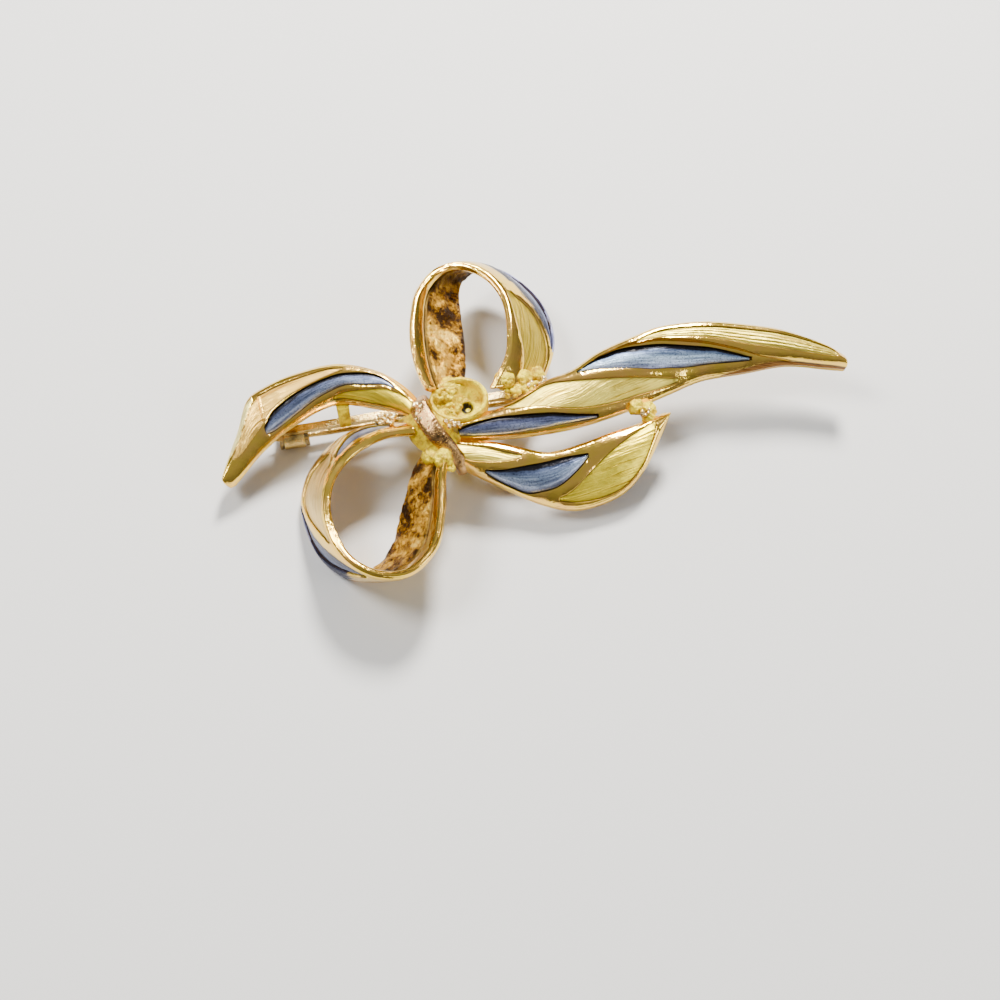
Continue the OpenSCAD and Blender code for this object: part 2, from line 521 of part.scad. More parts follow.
// Stem with its eye about the rivet, a slimmer end in the catch and a sharp point
module pin_stem() {
    tip = -catch_along - stem_past;
    collar_in = -catch_in + side_gap + collar_thick;
    color(steel) translate(knot_at) difference() {
        union() {
            cross_pin(eye_wide, eye_r);
            translate([hinge_along - neck_len, pin_side - neck_r, pin_z - neck_r])
                cube([neck_len, 2 * neck_r, 2 * neck_r]);
            along(collar_in + stem_r + taper_len, hinge_along, stem_r, stem_r);
            along(collar_in + stem_r, collar_in + stem_r + taper_len, stem_end_r, stem_r);
            along(tip + point_len, collar_in + stem_r, stem_end_r, stem_end_r);
            along(tip, tip + point_len, 0.05, stem_end_r);
        }
        cross_pin(2 * eye_wide, rivet_r + run_gap);
    }
}

// Turning tube of the catch, with a collar at each end and a thumb lever
module catch_tube() {
    left = -catch_along - side_gap - collar_thick;
    right = -catch_in + side_gap + collar_thick;
    color(steel) translate(knot_at) difference() {
        union() {
            along(left, right, tube_out, tube_out);
            along(left, left + collar_thick, collar_r, collar_r);
            along(right - collar_thick, right, collar_r, collar_r);
            translate([left, pin_side + tube_out, pin_z - lever_thick / 2])
                cube([collar_thick, collar_r - tube_out + lever_len, lever_thick]);
        }
        along(left - 1, right + 1, tube_r, tube_r);
        slot(left - 1, right + 1);
    }
}

bow_casting();
enamel_left_tail();
enamel_upper_loop();
enamel_lower_loop_front();
enamel_lower_loop_side();
enamel_long_tail_low();
enamel_long_tail_high();
enamel_short_tail();
pin_bar();
hinge_rivet();
pin_stem();
catch_tube();
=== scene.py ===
# Ribbon bow brooch, gold plated, with enamel stripes and a bar pin behind it, lying on its back.
# Lengths are in metres in the brooch's frame: +X along the long tail, +Y past the upper loop, +Z up.
import bpy
import math
import numpy as np
from mathutils import Matrix, Vector


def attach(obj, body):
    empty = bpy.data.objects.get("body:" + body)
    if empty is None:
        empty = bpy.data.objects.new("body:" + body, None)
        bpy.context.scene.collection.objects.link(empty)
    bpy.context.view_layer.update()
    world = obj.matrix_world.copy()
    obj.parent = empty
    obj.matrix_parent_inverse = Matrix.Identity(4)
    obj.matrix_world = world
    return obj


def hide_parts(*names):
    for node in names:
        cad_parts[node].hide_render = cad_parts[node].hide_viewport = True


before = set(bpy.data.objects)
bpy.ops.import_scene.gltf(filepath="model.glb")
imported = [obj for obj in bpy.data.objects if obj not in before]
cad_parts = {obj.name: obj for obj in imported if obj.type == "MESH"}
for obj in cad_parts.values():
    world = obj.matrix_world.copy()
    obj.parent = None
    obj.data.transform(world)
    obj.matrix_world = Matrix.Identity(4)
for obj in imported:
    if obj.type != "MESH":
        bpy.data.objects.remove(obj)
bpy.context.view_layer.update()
mm = 0.001

# The photograph's view, set by where the knot and the tips of the bow fall in it
view = {
    "elevation": 62,
    "azimuth": -11,
    "lens": 57.6,
    "place": (-24.38 * mm, -102.86 * mm, 177.19 * mm),
}


def makeCamera():
    e, a = math.radians(view["elevation"]), math.radians(view["azimuth"])
    back = Vector((math.sin(a) * math.cos(e), -math.cos(a) * math.cos(e), math.sin(e)))
    right = Vector((math.cos(a), math.sin(a), 0))
    up = back.cross(right)
    data = bpy.data.cameras.new("photoCamera")
    data.sensor_fit = "HORIZONTAL"
    data.sensor_width = 36
    data.lens = view["lens"]
    data.clip_start = 0.01
    camera = bpy.data.objects.new("photoCamera", data)
    turn = Matrix((right, up, back)).transposed().to_4x4()
    camera.matrix_world = Matrix.Translation(view["place"]) @ turn
    bpy.context.scene.collection.objects.link(camera)
    bpy.context.scene.camera = camera


makeCamera()
print("camera set")

# Light from behind and a little to the right, as the shadows fall, with a dim room round it
studio = {
    "key": {"place": (0.10, 0.27, 0.29), "size": 0.10, "power": 5.0, "colour": (1.0, 0.96, 0.90)},
    "top": {"place": (-0.22, 0.10, 0.34), "size": 0.16, "power": 1.6, "colour": (1.0, 0.98, 0.95)},
    "side": {"place": (0.26, -0.20, 0.20), "size": 0.14, "power": 0.5, "colour": (0.93, 0.96, 1.0)},
    "skyTop": (0.34, 0.34, 0.34),
    "skySide": (0.10, 0.10, 0.10),
    "skyFrom": 0.75,
    "floorHalf": 1.2,
    "floorColour": (0.74, 0.74, 0.73),
    "floorRough": 0.7,
}


def aimAt(place, target=(0, 0, 0)):
    return (Vector(place) - Vector(target)).to_track_quat("Z", "Y").to_matrix().to_4x4()


def makeStudio():
    for name in ("key", "top", "side"):
        s = studio[name]
        light = bpy.data.lights.new(name + "Light", "AREA")
        light.shape = "DISK"
        light.size = s["size"]
        light.energy = s["power"]
        light.color = s["colour"]
        lamp = bpy.data.objects.new(name + "Light", light)
        lamp.matrix_world = Matrix.Translation(s["place"]) @ aimAt(s["place"])
        bpy.context.scene.collection.objects.link(lamp)
    world = bpy.data.worlds.new("paleRoom")
    world.use_nodes = True
    tree = world.node_tree
    sky = tree.nodes["Background"]
    where = tree.nodes.new("ShaderNodeTexCoord")
    split = tree.nodes.new("ShaderNodeSeparateXYZ")
    fade = tree.nodes.new("ShaderNodeValToRGB")
    side, top = fade.color_ramp.elements
    side.position, side.color = 0.0, (*studio["skySide"], 1)
    top.position, top.color = studio["skyFrom"], (*studio["skyTop"], 1)
    tree.links.new(where.outputs["Generated"], split.inputs[0])
    tree.links.new(split.outputs["Z"], fade.inputs[0])
    tree.links.new(fade.outputs[0], sky.inputs["Color"])
    bpy.context.scene.world = world
    w = studio["floorHalf"]
    mesh = bpy.data.meshes.new("floor")
    mesh.from_pydata([(-w, -w, 0), (w, -w, 0), (w, w, 0), (-w, w, 0)], [], [(0, 1, 2, 3)])
    floor = bpy.data.objects.new("floor", mesh)
    bpy.context.scene.collection.objects.link(floor)
    paint = bpy.data.materials.new("paleFloor")
    paint.use_nodes = True
    skin = paint.node_tree.nodes["Principled BSDF"]
    skin.inputs["Base Color"].default_value = (*studio["floorColour"], 1)
    skin.inputs["Roughness"].default_value = studio["floorRough"]
    mesh.materials.append(paint)


makeStudio()
print("studio set")


# Shader parts

def groupOf(name, inputs, outputs):
    # A new node group with float, vector or colour sockets, and its two ends
    group = bpy.data.node_groups.new(name, "ShaderNodeTree")
    for label, kind, value in inputs:
        socket = group.interface.new_socket(name=label, in_out="INPUT", socket_type="NodeSocket" + kind)
        if value is not None:
            socket.default_value = value
    for label, kind in outputs:
        group.interface.new_socket(name=label, in_out="OUTPUT", socket_type="NodeSocket" + kind)
    return group, group.nodes.new("NodeGroupInput"), group.nodes.new("NodeGroupOutput")


def node(tree, kind, links=(), **values):
    # A node with its properties set, and its inputs linked from sockets or set to values
    n = tree.nodes.new("ShaderNode" + kind)
    for key, value in values.items():
        setattr(n, key, value)
    for key, value in dict(links).items():
        if isinstance(value, bpy.types.NodeSocket):
            tree.links.new(value, n.inputs[key])
        else:
            n.inputs[key].default_value = value
    return n


def maths(tree, operation, a, b=0.0, clamp=False):
    return node(tree, "Math", {0: a, 1: b}, operation=operation, use_clamp=clamp).outputs[0]


def scaleAdd(tree, value, scale, offset):
    return node(tree, "Math", {0: value, 1: scale, 2: offset}, operation="MULTIPLY_ADD").outputs[0]


def mixColour(tree, factor, a, b, blend="MIX"):
    return node(tree, "Mix", {0: factor, 6: a, 7: b}, data_type="RGBA", blend_type=blend).outputs[2]


def ramp(tree, value, stops):
    n = node(tree, "ValToRGB", {0: value})
    e = n.color_ramp.elements
    while len(e) < len(stops):
        e.new(0.5)
    for k, (place, colour) in enumerate(stops):
        e[k].position = place
        e[k].color = (*colour, 1) if len(colour) == 3 else colour
    return n.outputs[0]


def buildSmudge():
    # Cloudy smears and small pits, on the object's own coordinates
    g, start, end = groupOf("smudge", [("Size", "Float", 300.0), ("Fine", "Float", 2500.0)],
                            [("Cloud", "Float"), ("Pit", "Float"), ("Grain", "Float")])
    where = node(g, "TexCoord").outputs["Object"]
    cloud = node(g, "TexNoise", {"Vector": where, "Scale": start.outputs["Size"],
                                 "Detail": 4.0, "Roughness": 0.6})
    grain = node(g, "TexNoise", {"Vector": where, "Scale": start.outputs["Fine"],
                                 "Detail": 3.0, "Roughness": 0.7})
    pits = node(g, "TexVoronoi", {"Vector": where, "Scale": start.outputs["Fine"]})
    deep = maths(g, "SUBTRACT", 0.32, pits.outputs["Distance"], True)
    g.links.new(cloud.outputs[0], end.inputs["Cloud"])
    g.links.new(deep, end.inputs["Pit"])
    g.links.new(grain.outputs[0], end.inputs["Grain"])
    return g


def buildStriation():
    # Fine lines along a ribbon, from its own place attribute: noise drawn out along it
    g, start, end = groupOf("striation", [("Lines", "Float", 5.0), ("Length", "Float", 0.25)],
                            [("Height", "Float"), ("Tone", "Float")])
    place = node(g, "Attribute", attribute_name="ribbonPlace").outputs["Vector"]
    split = node(g, "SeparateXYZ", {0: place})
    along = maths(g, "MULTIPLY", split.outputs[0], start.outputs["Length"])
    across = maths(g, "MULTIPLY", split.outputs[1], start.outputs["Lines"])
    drawn = node(g, "CombineXYZ", {0: along, 1: across, 2: split.outputs[2]}).outputs[0]
    fine = node(g, "TexNoise", {"Vector": drawn, "Scale": 1.0, "Detail": 3.0, "Roughness": 0.6})
    broad = node(g, "TexNoise", {"Vector": drawn, "Scale": 0.35, "Detail": 1.0})
    g.links.new(fine.outputs[0], end.inputs["Height"])
    g.links.new(broad.outputs[0], end.inputs["Tone"])
    return g


smudge = buildSmudge()
striation = buildStriation()


def useGroup(tree, group, **values):
    n = tree.nodes.new("ShaderNodeGroup")
    n.node_tree = group
    for key, value in values.items():
        n.inputs[key].default_value = value
    return n.outputs


def newMaterial(name):
    m = bpy.data.materials.new(name)
    m.use_nodes = True
    return m, m.node_tree, m.node_tree.nodes["Principled BSDF"]


# Plated metal of the bow: bright on the rims, satin in the fields, rough inside the loops, darkened by painted
# shade
plate = {
    "rim": (1.0, 0.68, 0.09),
    "rimWarm": (1.0, 0.60, 0.14),
    "shadeColour": (0.055, 0.030, 0.010),
    "warmWhere": [(0.38, (0, 0, 0)), (0.62, (1, 1, 1))],
    "streaks": [(0.34, (0.50, 0.38, 0.20)), (0.45, (0.92, 0.88, 0.78)), (0.60, (1.0, 1.0, 1.0))],
    "cast": [(0.43, (0.045, 0.020, 0.005)), (0.48, (0.30, 0.14, 0.012)), (0.55, (0.80, 0.46, 0.05)),
             (0.63, (0.98, 0.74, 0.16))],
    "cloudShare": 0.65,
    "rimRough": 0.15,
    "satinRough": 0.36,
    "castRough": 0.46,
    "creaseRough": 0.3,
    "cloudRough": 0.25,
    "lineBump": (1.3, 0.10),
    "gritBump": (2.2, 0.08),
    "waveBump": 1.6,
    "bump": {"Strength": 0.7, "Distance": 0.00014},
}


def plateMaterial():
    m, t, skin = newMaterial("goldPlate")
    cover = node(t, "Attribute", attribute_name="finishAndShade")
    parts = node(t, "SeparateColor", {0: cover.outputs["Color"]})
    satin, cast, shadeMask = parts.outputs[0], parts.outputs[1], parts.outputs[2]
    tint = node(t, "Attribute", attribute_name="tint").outputs["Color"]
    s = useGroup(t, smudge, Size=330.0, Fine=2600.0)
    f = useGroup(t, smudge, Size=850.0, Fine=2000.0)
    lines = useGroup(t, striation, Lines=3.4, Length=0.12)
    warm = ramp(t, s["Cloud"], plate["warmWhere"])
    rim = mixColour(t, warm, (*plate["rim"], 1), (*plate["rimWarm"], 1))
    streak = ramp(t, lines["Height"], plate["streaks"])
    colour = mixColour(t, satin, rim, mixColour(t, 1.0, tint, streak, "MULTIPLY"))
    share = plate["cloudShare"]
    mottle = maths(t, "ADD", scaleAdd(t, s["Cloud"], share, 0.0), scaleAdd(t, f["Grain"], 1 - share, 0.0))
    colour = mixColour(t, cast, colour, ramp(t, mottle, plate["cast"]))
    # Painted shade: the near-black colour mixed in by the third channel of the finish attribute
    t.links.new(mixColour(t, shadeMask, colour, (*plate["shadeColour"], 1)), skin.inputs["Base Color"])
    skin.inputs["Metallic"].default_value = 1.0
    base = scaleAdd(t, satin, plate["satinRough"] - plate["rimRough"], plate["rimRough"])
    rough = maths(t, "ADD", base, scaleAdd(t, cast, plate["castRough"] - plate["rimRough"], 0.0))
    rough = maths(t, "ADD", rough, scaleAdd(t, shadeMask, plate["creaseRough"], 0.0))
    spread = plate["cloudRough"]
    rough = maths(t, "ADD", rough, scaleAdd(t, s["Cloud"], spread, -spread / 2), True)
    t.links.new(rough, skin.inputs["Roughness"])
    lineHeight = maths(t, "MULTIPLY", lines["Height"], scaleAdd(t, satin, *plate["lineBump"]))
    grit = maths(t, "SUBTRACT", f["Grain"], f["Pit"])
    grit = maths(t, "MULTIPLY", grit, scaleAdd(t, cast, *plate["gritBump"]))
    height = maths(t, "ADD", maths(t, "ADD", lineHeight, grit), scaleAdd(t, s["Cloud"], plate["waveBump"], 0.0))
    bump = node(t, "Bump", {"Height": height, **plate["bump"]})
    t.links.new(bump.outputs[0], skin.inputs["Normal"])
    return m


# Enamel: slate blue brushed along the stripe, with painted shadow under its upper rim and a painted sheen paler
# towards the other, glossed
enamelLook = {
    "across": [(0.0, (0.003, 0.003, 0.006)), (0.17, (0.004, 0.004, 0.010)), (0.26, (0.045, 0.055, 0.12)),
               (0.50, (0.12, 0.145, 0.27)), (0.80, (0.24, 0.29, 0.46)), (1.0, (0.12, 0.13, 0.24))],
    "bright": [(0.0, (0.003, 0.003, 0.006)), (0.14, (0.004, 0.004, 0.010)), (0.22, (0.12, 0.18, 0.34)),
               (0.50, (0.32, 0.46, 0.62)), (0.80, (0.44, 0.55, 0.72)), (1.0, (0.16, 0.18, 0.30))],
    "brushed": [(0.34, (0.40, 0.42, 0.48)), (0.50, (1.0, 1.0, 1.0)), (0.66, (1.9, 1.85, 1.7))],
    "flecks": [(0.36, (0.65, 0.65, 0.7)), (0.50, (1, 1, 1)), (0.70, (1.5, 1.45, 1.35))],
    "fleckShare": 0.6,
    "wander": 0.3,
    "metallic": 0.6,
    "rough": 0.30,
    "roughSpread": 0.3,
    "gloss": 0.3,
    "glossRough": 0.12,
    "lineBump": 1.5,
    "bump": {"Strength": 0.4, "Distance": 0.0001},
}


def enamelMaterial():
    m, t, skin = newMaterial("blueEnamel")
    cover = node(t, "Attribute", attribute_name="finishAndShade")
    parts = node(t, "SeparateColor", {0: cover.outputs["Color"]})
    s = useGroup(t, smudge, Size=420.0, Fine=5200.0)
    lines = useGroup(t, striation, Lines=3.0, Length=0.20)
    e = enamelLook
    # Painted shadow under the upper rim and painted sheen towards the other, set by the place across the stripe
    shifted = maths(t, "ADD", parts.outputs[0], scaleAdd(t, s["Cloud"], e["wander"], -e["wander"] / 2), True)
    tone = mixColour(t, parts.outputs[1], ramp(t, shifted, e["across"]), ramp(t, shifted, e["bright"]))
    brushed = ramp(t, lines["Height"], e["brushed"])
    flecks = ramp(t, s["Grain"], e["flecks"])
    tone = mixColour(t, 1.0, tone, brushed, "MULTIPLY")
    t.links.new(mixColour(t, e["fleckShare"], tone, flecks, "MULTIPLY"), skin.inputs["Base Color"])
    skin.inputs["Metallic"].default_value = e["metallic"]
    rough = scaleAdd(t, s["Grain"], e["roughSpread"], e["rough"] - e["roughSpread"] / 2)
    t.links.new(rough, skin.inputs["Roughness"])
    skin.inputs["Coat Weight"].default_value = e["gloss"]
    skin.inputs["Coat Roughness"].default_value = e["glossRough"]
    height = maths(t, "ADD", s["Grain"], scaleAdd(t, lines["Height"], e["lineBump"], 0.0))
    bump = node(t, "Bump", {"Height": height, **e["bump"]})
    t.links.new(bump.outputs[0], skin.inputs["Normal"])
    return m


# Rough metals: solder, the ring, the band and the pin work, which shows wear. The attribute soot paints black
# shade on them where it is set, in the ring's hole.
roughLooks = {
    "solderGold": {"dark": (0.42, 0.24, 0.0), "pale": (1.0, 0.80, 0.0), "rough": 0.42, "grit": 1.0,
                   "cloud": 900.0, "fine": 2600.0, "metallic": 0.35},
    "ringGold": {"dark": (0.58, 0.33, 0.0), "pale": (1.0, 0.82, 0.0), "rough": 0.42, "grit": 1.0,
                 "cloud": 600.0, "fine": 2100.0, "metallic": 0.3},
    "bandGold": {"dark": (0.20, 0.11, 0.04), "pale": (0.72, 0.42, 0.16), "rough": 0.20, "grit": 0.45,
                 "cloud": 420.0, "fine": 2400.0, "metallic": 1.0},
    "whiteGold": {"dark": (0.75, 0.52, 0.20), "pale": (1.0, 0.80, 0.42), "rough": 0.22, "grit": 0.4,
                  "cloud": 900.0, "fine": 2600.0, "metallic": 1.0},
    "pinMetal": {"dark": (0.30, 0.19, 0.05), "pale": (0.92, 0.68, 0.25), "rough": 0.24, "grit": 0.4,
                 "cloud": 380.0, "fine": 3000.0, "metallic": 1.0},
    # The catch: a darker copy of the pin metal, painted shade for where it lies under the tail
    "catchShadedMetal": {"dark": (0.035, 0.024, 0.010), "pale": (0.62, 0.46, 0.20), "rough": 0.26, "grit": 0.9,
                   "cloud": 700.0, "fine": 1500.0, "metallic": 1.0},
}
roughShared = {
    "patches": (0.34, 0.56),
    "pits": [(0.12, (0, 0, 0)), (0.30, (1, 1, 1))],
    "holeShade": (0.006, 0.004, 0.002),
    "roughSpread": 0.3,
    "bumpDistance": 0.0003,
}


def roughMetal(name):
    m, t, skin = newMaterial(name)
    look, spread = roughLooks[name], roughShared["roughSpread"]
    s = useGroup(t, smudge, Size=look["cloud"], Fine=look["fine"])
    darkTo, paleFrom = roughShared["patches"]
    colour = ramp(t, s["Cloud"], [(darkTo, look["dark"]), (paleFrom, look["pale"])])
    colour = mixColour(t, ramp(t, s["Pit"], roughShared["pits"]), colour, (*look["dark"], 1))
    holeShade = node(t, "Attribute", attribute_name="holeShade").outputs["Color"]
    holeShade = node(t, "SeparateColor", {0: holeShade}).outputs[0]
    t.links.new(mixColour(t, holeShade, colour, (*roughShared["holeShade"], 1)), skin.inputs["Base Color"])
    skin.inputs["Metallic"].default_value = look["metallic"]
    t.links.new(scaleAdd(t, s["Cloud"], spread, look["rough"] - spread / 2), skin.inputs["Roughness"])
    bump = node(t, "Bump", {"Height": maths(t, "SUBTRACT", s["Grain"], s["Pit"]), "Strength": look["grit"],
                            "Distance": roughShared["bumpDistance"]})
    t.links.new(bump.outputs[0], skin.inputs["Normal"])
    return m


goldPlate = plateMaterial()
blueEnamel = enamelMaterial()
metals = {name: roughMetal(name) for name in roughLooks}
print("materials made")


# Surfaces
sharpFrom = 50


def hashed(i, j, k, seed):
    # Pseudo-random numbers from 0 to 1 at whole-number places
    n = (i * 73856093) ^ (j * 19349663) ^ (k * 83492791) ^ (seed * 2654435761)
    n = (n ^ (n >> 13)) * 1274126177
    return ((n ^ (n >> 16)) & 0xFFFF) / 65535.0


def lumps(p, size, seed=1):
    # Smooth noise from -1 to 1: random values at the corners of cubes of that size, blended between them
    q = p / size
    base = np.floor(q).astype(np.int64)
    f = q - base
    f = f * f * (3 - 2 * f)
    total = 0
    for di in (0, 1):
        for dj in (0, 1):
            for dk in (0, 1):
                w = (f[..., 0] if di else 1 - f[..., 0]) * (f[..., 1] if dj else 1 - f[..., 1]) \
                    * (f[..., 2] if dk else 1 - f[..., 2])
                total = total + w * hashed(base[..., 0] + di, base[..., 1] + dj, base[..., 2] + dk, seed)
    return 2 * total - 1


def unit(v):
    return v / np.maximum(np.linalg.norm(v, axis=-1, keepdims=True), 1e-12)


def layered(p, layers):
    # Sum of noises, each with its size, seed and height
    return sum(lumps(p, size, seed) * height for size, seed, height in layers)


def ringQuads(rows, cols):
    # Corners of the four-sided faces between rings of points
    i = cols * np.arange(rows - 1)[:, None]
    j = np.arange(cols)[None, :]
    j2 = (j + 1) % cols
    return np.stack([(i + j).ravel(), (i + cols + j).ravel(), (i + cols + j2).ravel(), (i + j2).ravel()], 1)


def turnsOf(count):
    return np.linspace(0, 2 * np.pi, count, endpoint=False)


def ballOf(around, down, gap):
    # Points of a ball of radius 1, open at its poles by the angle gap
    a, b = turnsOf(around)[None, :], np.linspace(gap, np.pi - gap, down)[:, None]
    return np.stack([np.sin(b) * np.cos(a), np.sin(b) * np.sin(a), np.cos(b) + 0 * a], -1)


def putMesh(name, points, quads, tris, material, attributes=()):
    # Mesh object from arrays of points and faces, its faces turned outwards by the sign of its volume
    allTris = np.concatenate([quads[:, [0, 1, 2]], quads[:, [0, 2, 3]], tris])
    a, b, c = (points[allTris[:, k]] for k in range(3))
    if np.einsum("ij,ij->i", a, np.cross(b, c)).sum() < 0:
        quads, tris = quads[:, ::-1], tris[:, ::-1]
    mesh = bpy.data.meshes.new(name)
    loops = np.concatenate([quads.ravel(), tris.ravel()])
    counts = np.concatenate([np.full(len(quads), 4), np.full(len(tris), 3)])
    mesh.vertices.add(len(points))
    mesh.vertices.foreach_set("co", points.astype(np.float32).ravel())
    mesh.loops.add(len(loops))
    mesh.loops.foreach_set("vertex_index", loops.astype(np.int32))
    mesh.polygons.add(len(counts))
    mesh.polygons.foreach_set("loop_start", (np.cumsum(counts) - counts).astype(np.int32))
    mesh.polygons.foreach_set("loop_total", counts.astype(np.int32))
    mesh.update(calc_edges=True)
    mesh.validate()
    for label, kind, values in attributes:
        layer = mesh.attributes.new(label, kind, "POINT")
        slot = "color" if kind == "FLOAT_COLOR" else "vector"
        layer.data.foreach_set(slot, values.astype(np.float32).ravel())
    mesh.shade_smooth()
    mesh.set_sharp_from_angle(angle=math.radians(sharpFrom))
    mesh.materials.append(material)
    piece = bpy.data.objects.new(name, mesh)
    bpy.context.scene.collection.objects.link(piece)
    return piece


def tube(name, grid, material, attributes=()):
    # Closed skin of a grid whose rows are rings, with a fan over each end ring
    rows, cols = grid.shape[:2]
    quads = ringQuads(rows, cols)
    centres = np.stack([grid[0].mean(0), grid[-1].mean(0)])
    j = np.arange(cols)
    j2 = (j + 1) % cols
    firstFan = np.stack([np.full(cols, rows * cols), j, j2], 1)
    lastFan = np.stack([np.full(cols, rows * cols + 1), (rows - 1) * cols + j2, (rows - 1) * cols + j], 1)
    points = np.concatenate([grid.reshape(-1, 3), centres])
    full = []
    for label, kind, values in attributes:
        ends = np.stack([values[0].mean(0), values[-1].mean(0)])
        full.append((label, kind, np.concatenate([values.reshape(-1, values.shape[-1]), ends])))
    return putMesh(name, points, quads, np.concatenate([firstFan, lastFan]), material, full)


# The bow's sizes, as in the part's source
bow = {
    "knotAt": np.array([-12.8, -2.43, 0.0]),
    "lift": 0.6,
    "tailWall": 1.3,
    "loopWall": 1.1,
    "tailCrown": 0.9,
    "loopCrown": 0.25,
    "foldStep": 0.5,
    "satinDepth": 0.2,
    "pocketDepth": 0.7,
    "enamelSink": 0.30,
    "enamelDome": 0.14,
    "edgeRound": 0.3,
    "edgeShare": 0.05,
    "slope": 0.12,
    "rimRise": 0.10,
    "rimSoft": 0.35,
    "fadeShare": 0.012,
    "leastStep": 0.0015,
    "ridge": 0.13,
    "foot": (0.04, 0.08),
    # Painted shade along each floor beside its walls, and on the walls and steps
    "floorLineShadeWide": 0.13,
    "floorLineShade": 0.9,
    "wallShade": {"wall": 0.75, "step": 0.6},
    "bulge": 0.16,
    "backSoft": 0.25,
    "flange": 0.26,
    "groove": (0.28, 0.035),
    "loopShade": 0.8,
    "endRound": 0.35,
    "faceNoise": [(2.6, 3, 0.03), (0.7, 5, 0.006)],
    "castNoise": [(1.3, 7, 0.16), (0.55, 9, 0.10)],
    "enamelNoise": [(0.5, 11, 0.018), (1.4, 12, 0.02)],
    "enamelRows": 150,
    "rows": 380,
}
# Points across each kind of stretch of a ribbon's section
columnCount = {"edge": 6, "rim": 8, "wall": 3, "floor": 14, "step": 3, "side": 8, "under": 44}

# Rows of the ribbons: near edge x, y, z and far edge x, y, z as shares of reach, sweep and rise
longRows = [
    [0.03, 0.06, 0.71, 0.03, -0.17, 0.70],
    [0.10, 0.09, 0.74, 0.10, -0.23, 0.67],
    [0.18, 0.15, 0.78, 0.18, -0.27, 0.65],
    [0.27, 0.35, 0.83, 0.27, -0.28, 0.63],
    [0.34, 0.42, 0.88, 0.34, -0.25, 0.60],
    [0.41, 0.58, 0.94, 0.41, -0.19, 0.59],
    [0.50, 0.69, 1.00, 0.50, -0.09, 0.59],
    [0.57, 0.77, 1.00, 0.57, 0.01, 0.59],
    [0.67, 0.74, 1.00, 0.65, 0.11, 0.59],
    [0.77, 0.63, 0.94, 0.75, 0.11, 0.60],
    [0.86, 0.48, 0.88, 0.85, 0.10, 0.63],
    [0.95, 0.24, 0.77, 0.94, -0.03, 0.64],
    [0.995, 0.04, 0.70, 0.99, -0.10, 0.62]]
shortRows = [
    [0.02, -0.14, 1.00, 0.02, -0.33, 0.80],
    [0.10, -0.20, 1.00, 0.07, -0.42, 0.73],
    [0.22, -0.27, 1.00, 0.15, -0.55, 0.65],
    [0.33, -0.38, 0.97, 0.26, -0.71, 0.50],
    [0.43, -0.47, 0.92, 0.38, -0.87, 0.33],
    [0.52, -0.47, 0.92, 0.50, -0.97, 0.25],
    [0.62, -0.43, 0.92, 0.62, -0.97, 0.25],
    [0.73, -0.37, 0.92, 0.75, -0.89, 0.35],
    [0.84, -0.31, 0.87, 0.86, -0.69, 0.55],
    [0.93, -0.25, 0.84, 0.95, -0.42, 0.68],
    [1.00, -0.21, 0.83, 1.00, -0.25, 0.80]]
leftRows = [
    [0.05, 0.20, 0.90, 0.07, 0.06, 0.78],
    [0.08, 0.36, 0.94, 0.10, 0.18, 0.78],
    [0.13, 0.58, 0.97, 0.17, 0.32, 0.76],
    [0.22, 0.81, 1.00, 0.27, 0.45, 0.73],
    [0.35, 0.98, 1.00, 0.40, 0.60, 0.68],
    [0.46, 1.03, 1.00, 0.50, 0.58, 0.67],
    [0.62, 1.01, 0.94, 0.62, 0.46, 0.65],
    [0.74, 0.94, 0.88, 0.72, 0.34, 0.59],
    [0.84, 0.81, 0.81, 0.82, 0.17, 0.50],
    [0.90, 0.52, 0.60, 0.89, 0.03, 0.42],
    [0.96, 0.26, 0.42, 0.95, -0.08, 0.34],
    [1.01, 0.01, 0.31, 0.99, -0.12, 0.28]]
upperRows = [
    [-0.04, 0.17, 0.89, 0.21, 0.20, 0.50],
    [-0.08, 0.28, 0.95, 0.25, 0.32, 0.42],
    [-0.09, 0.42, 1.00, 0.29, 0.50, 0.39],
    [-0.06, 0.57, 1.00, 0.31, 0.70, 0.39],
    [0.02, 0.74, 1.00, 0.34, 0.87, 0.39],
    [0.17, 0.86, 1.00, 0.43, 0.96, 0.39],
    [0.33, 0.89, 1.00, 0.57, 1.00, 0.39],
    [0.46, 0.86, 1.00, 0.76, 0.92, 0.39],
    [0.58, 0.77, 1.00, 0.90, 0.78, 0.39],
    [0.65, 0.63, 1.00, 0.97, 0.64, 0.39],
    [0.64, 0.45, 1.00, 0.98, 0.49, 0.39],
    [0.58, 0.28, 0.95, 0.93, 0.36, 0.41],
    [0.43, 0.13, 0.84, 0.82, 0.21, 0.46]]
lowerRows = [
    [0.15, 0.02, 1.00, 0.20, -0.14, 0.55],
    [0.35, 0.01, 1.00, 0.55, -0.18, 0.40],
    [0.57, 0.08, 1.00, 0.74, -0.13, 0.27],
    [0.74, 0.21, 1.00, 0.90, -0.01, 0.18],
    [0.83, 0.37, 1.00, 0.99, 0.12, 0.09],
    [0.85, 0.54, 1.00, 1.02, 0.27, 0.02],
    [0.82, 0.71, 1.00, 0.99, 0.47, -0.04],
    [0.72, 0.88, 1.00, 0.91, 0.64, -0.07],
    [0.55, 0.99, 1.00, 0.77, 0.76, -0.07],
    [0.34, 1.00, 1.00, 0.61, 0.78, -0.04],
    [0.15, 0.86, 1.00, 0.43, 0.66, 0.06],
    [0.05, 0.62, 1.00, 0.32, 0.47, 0.24],
    [0.00, 0.38, 1.00, 0.22, 0.28, 0.40],
    [-0.05, 0.26, 0.95, 0.10, 0.12, 0.55]]

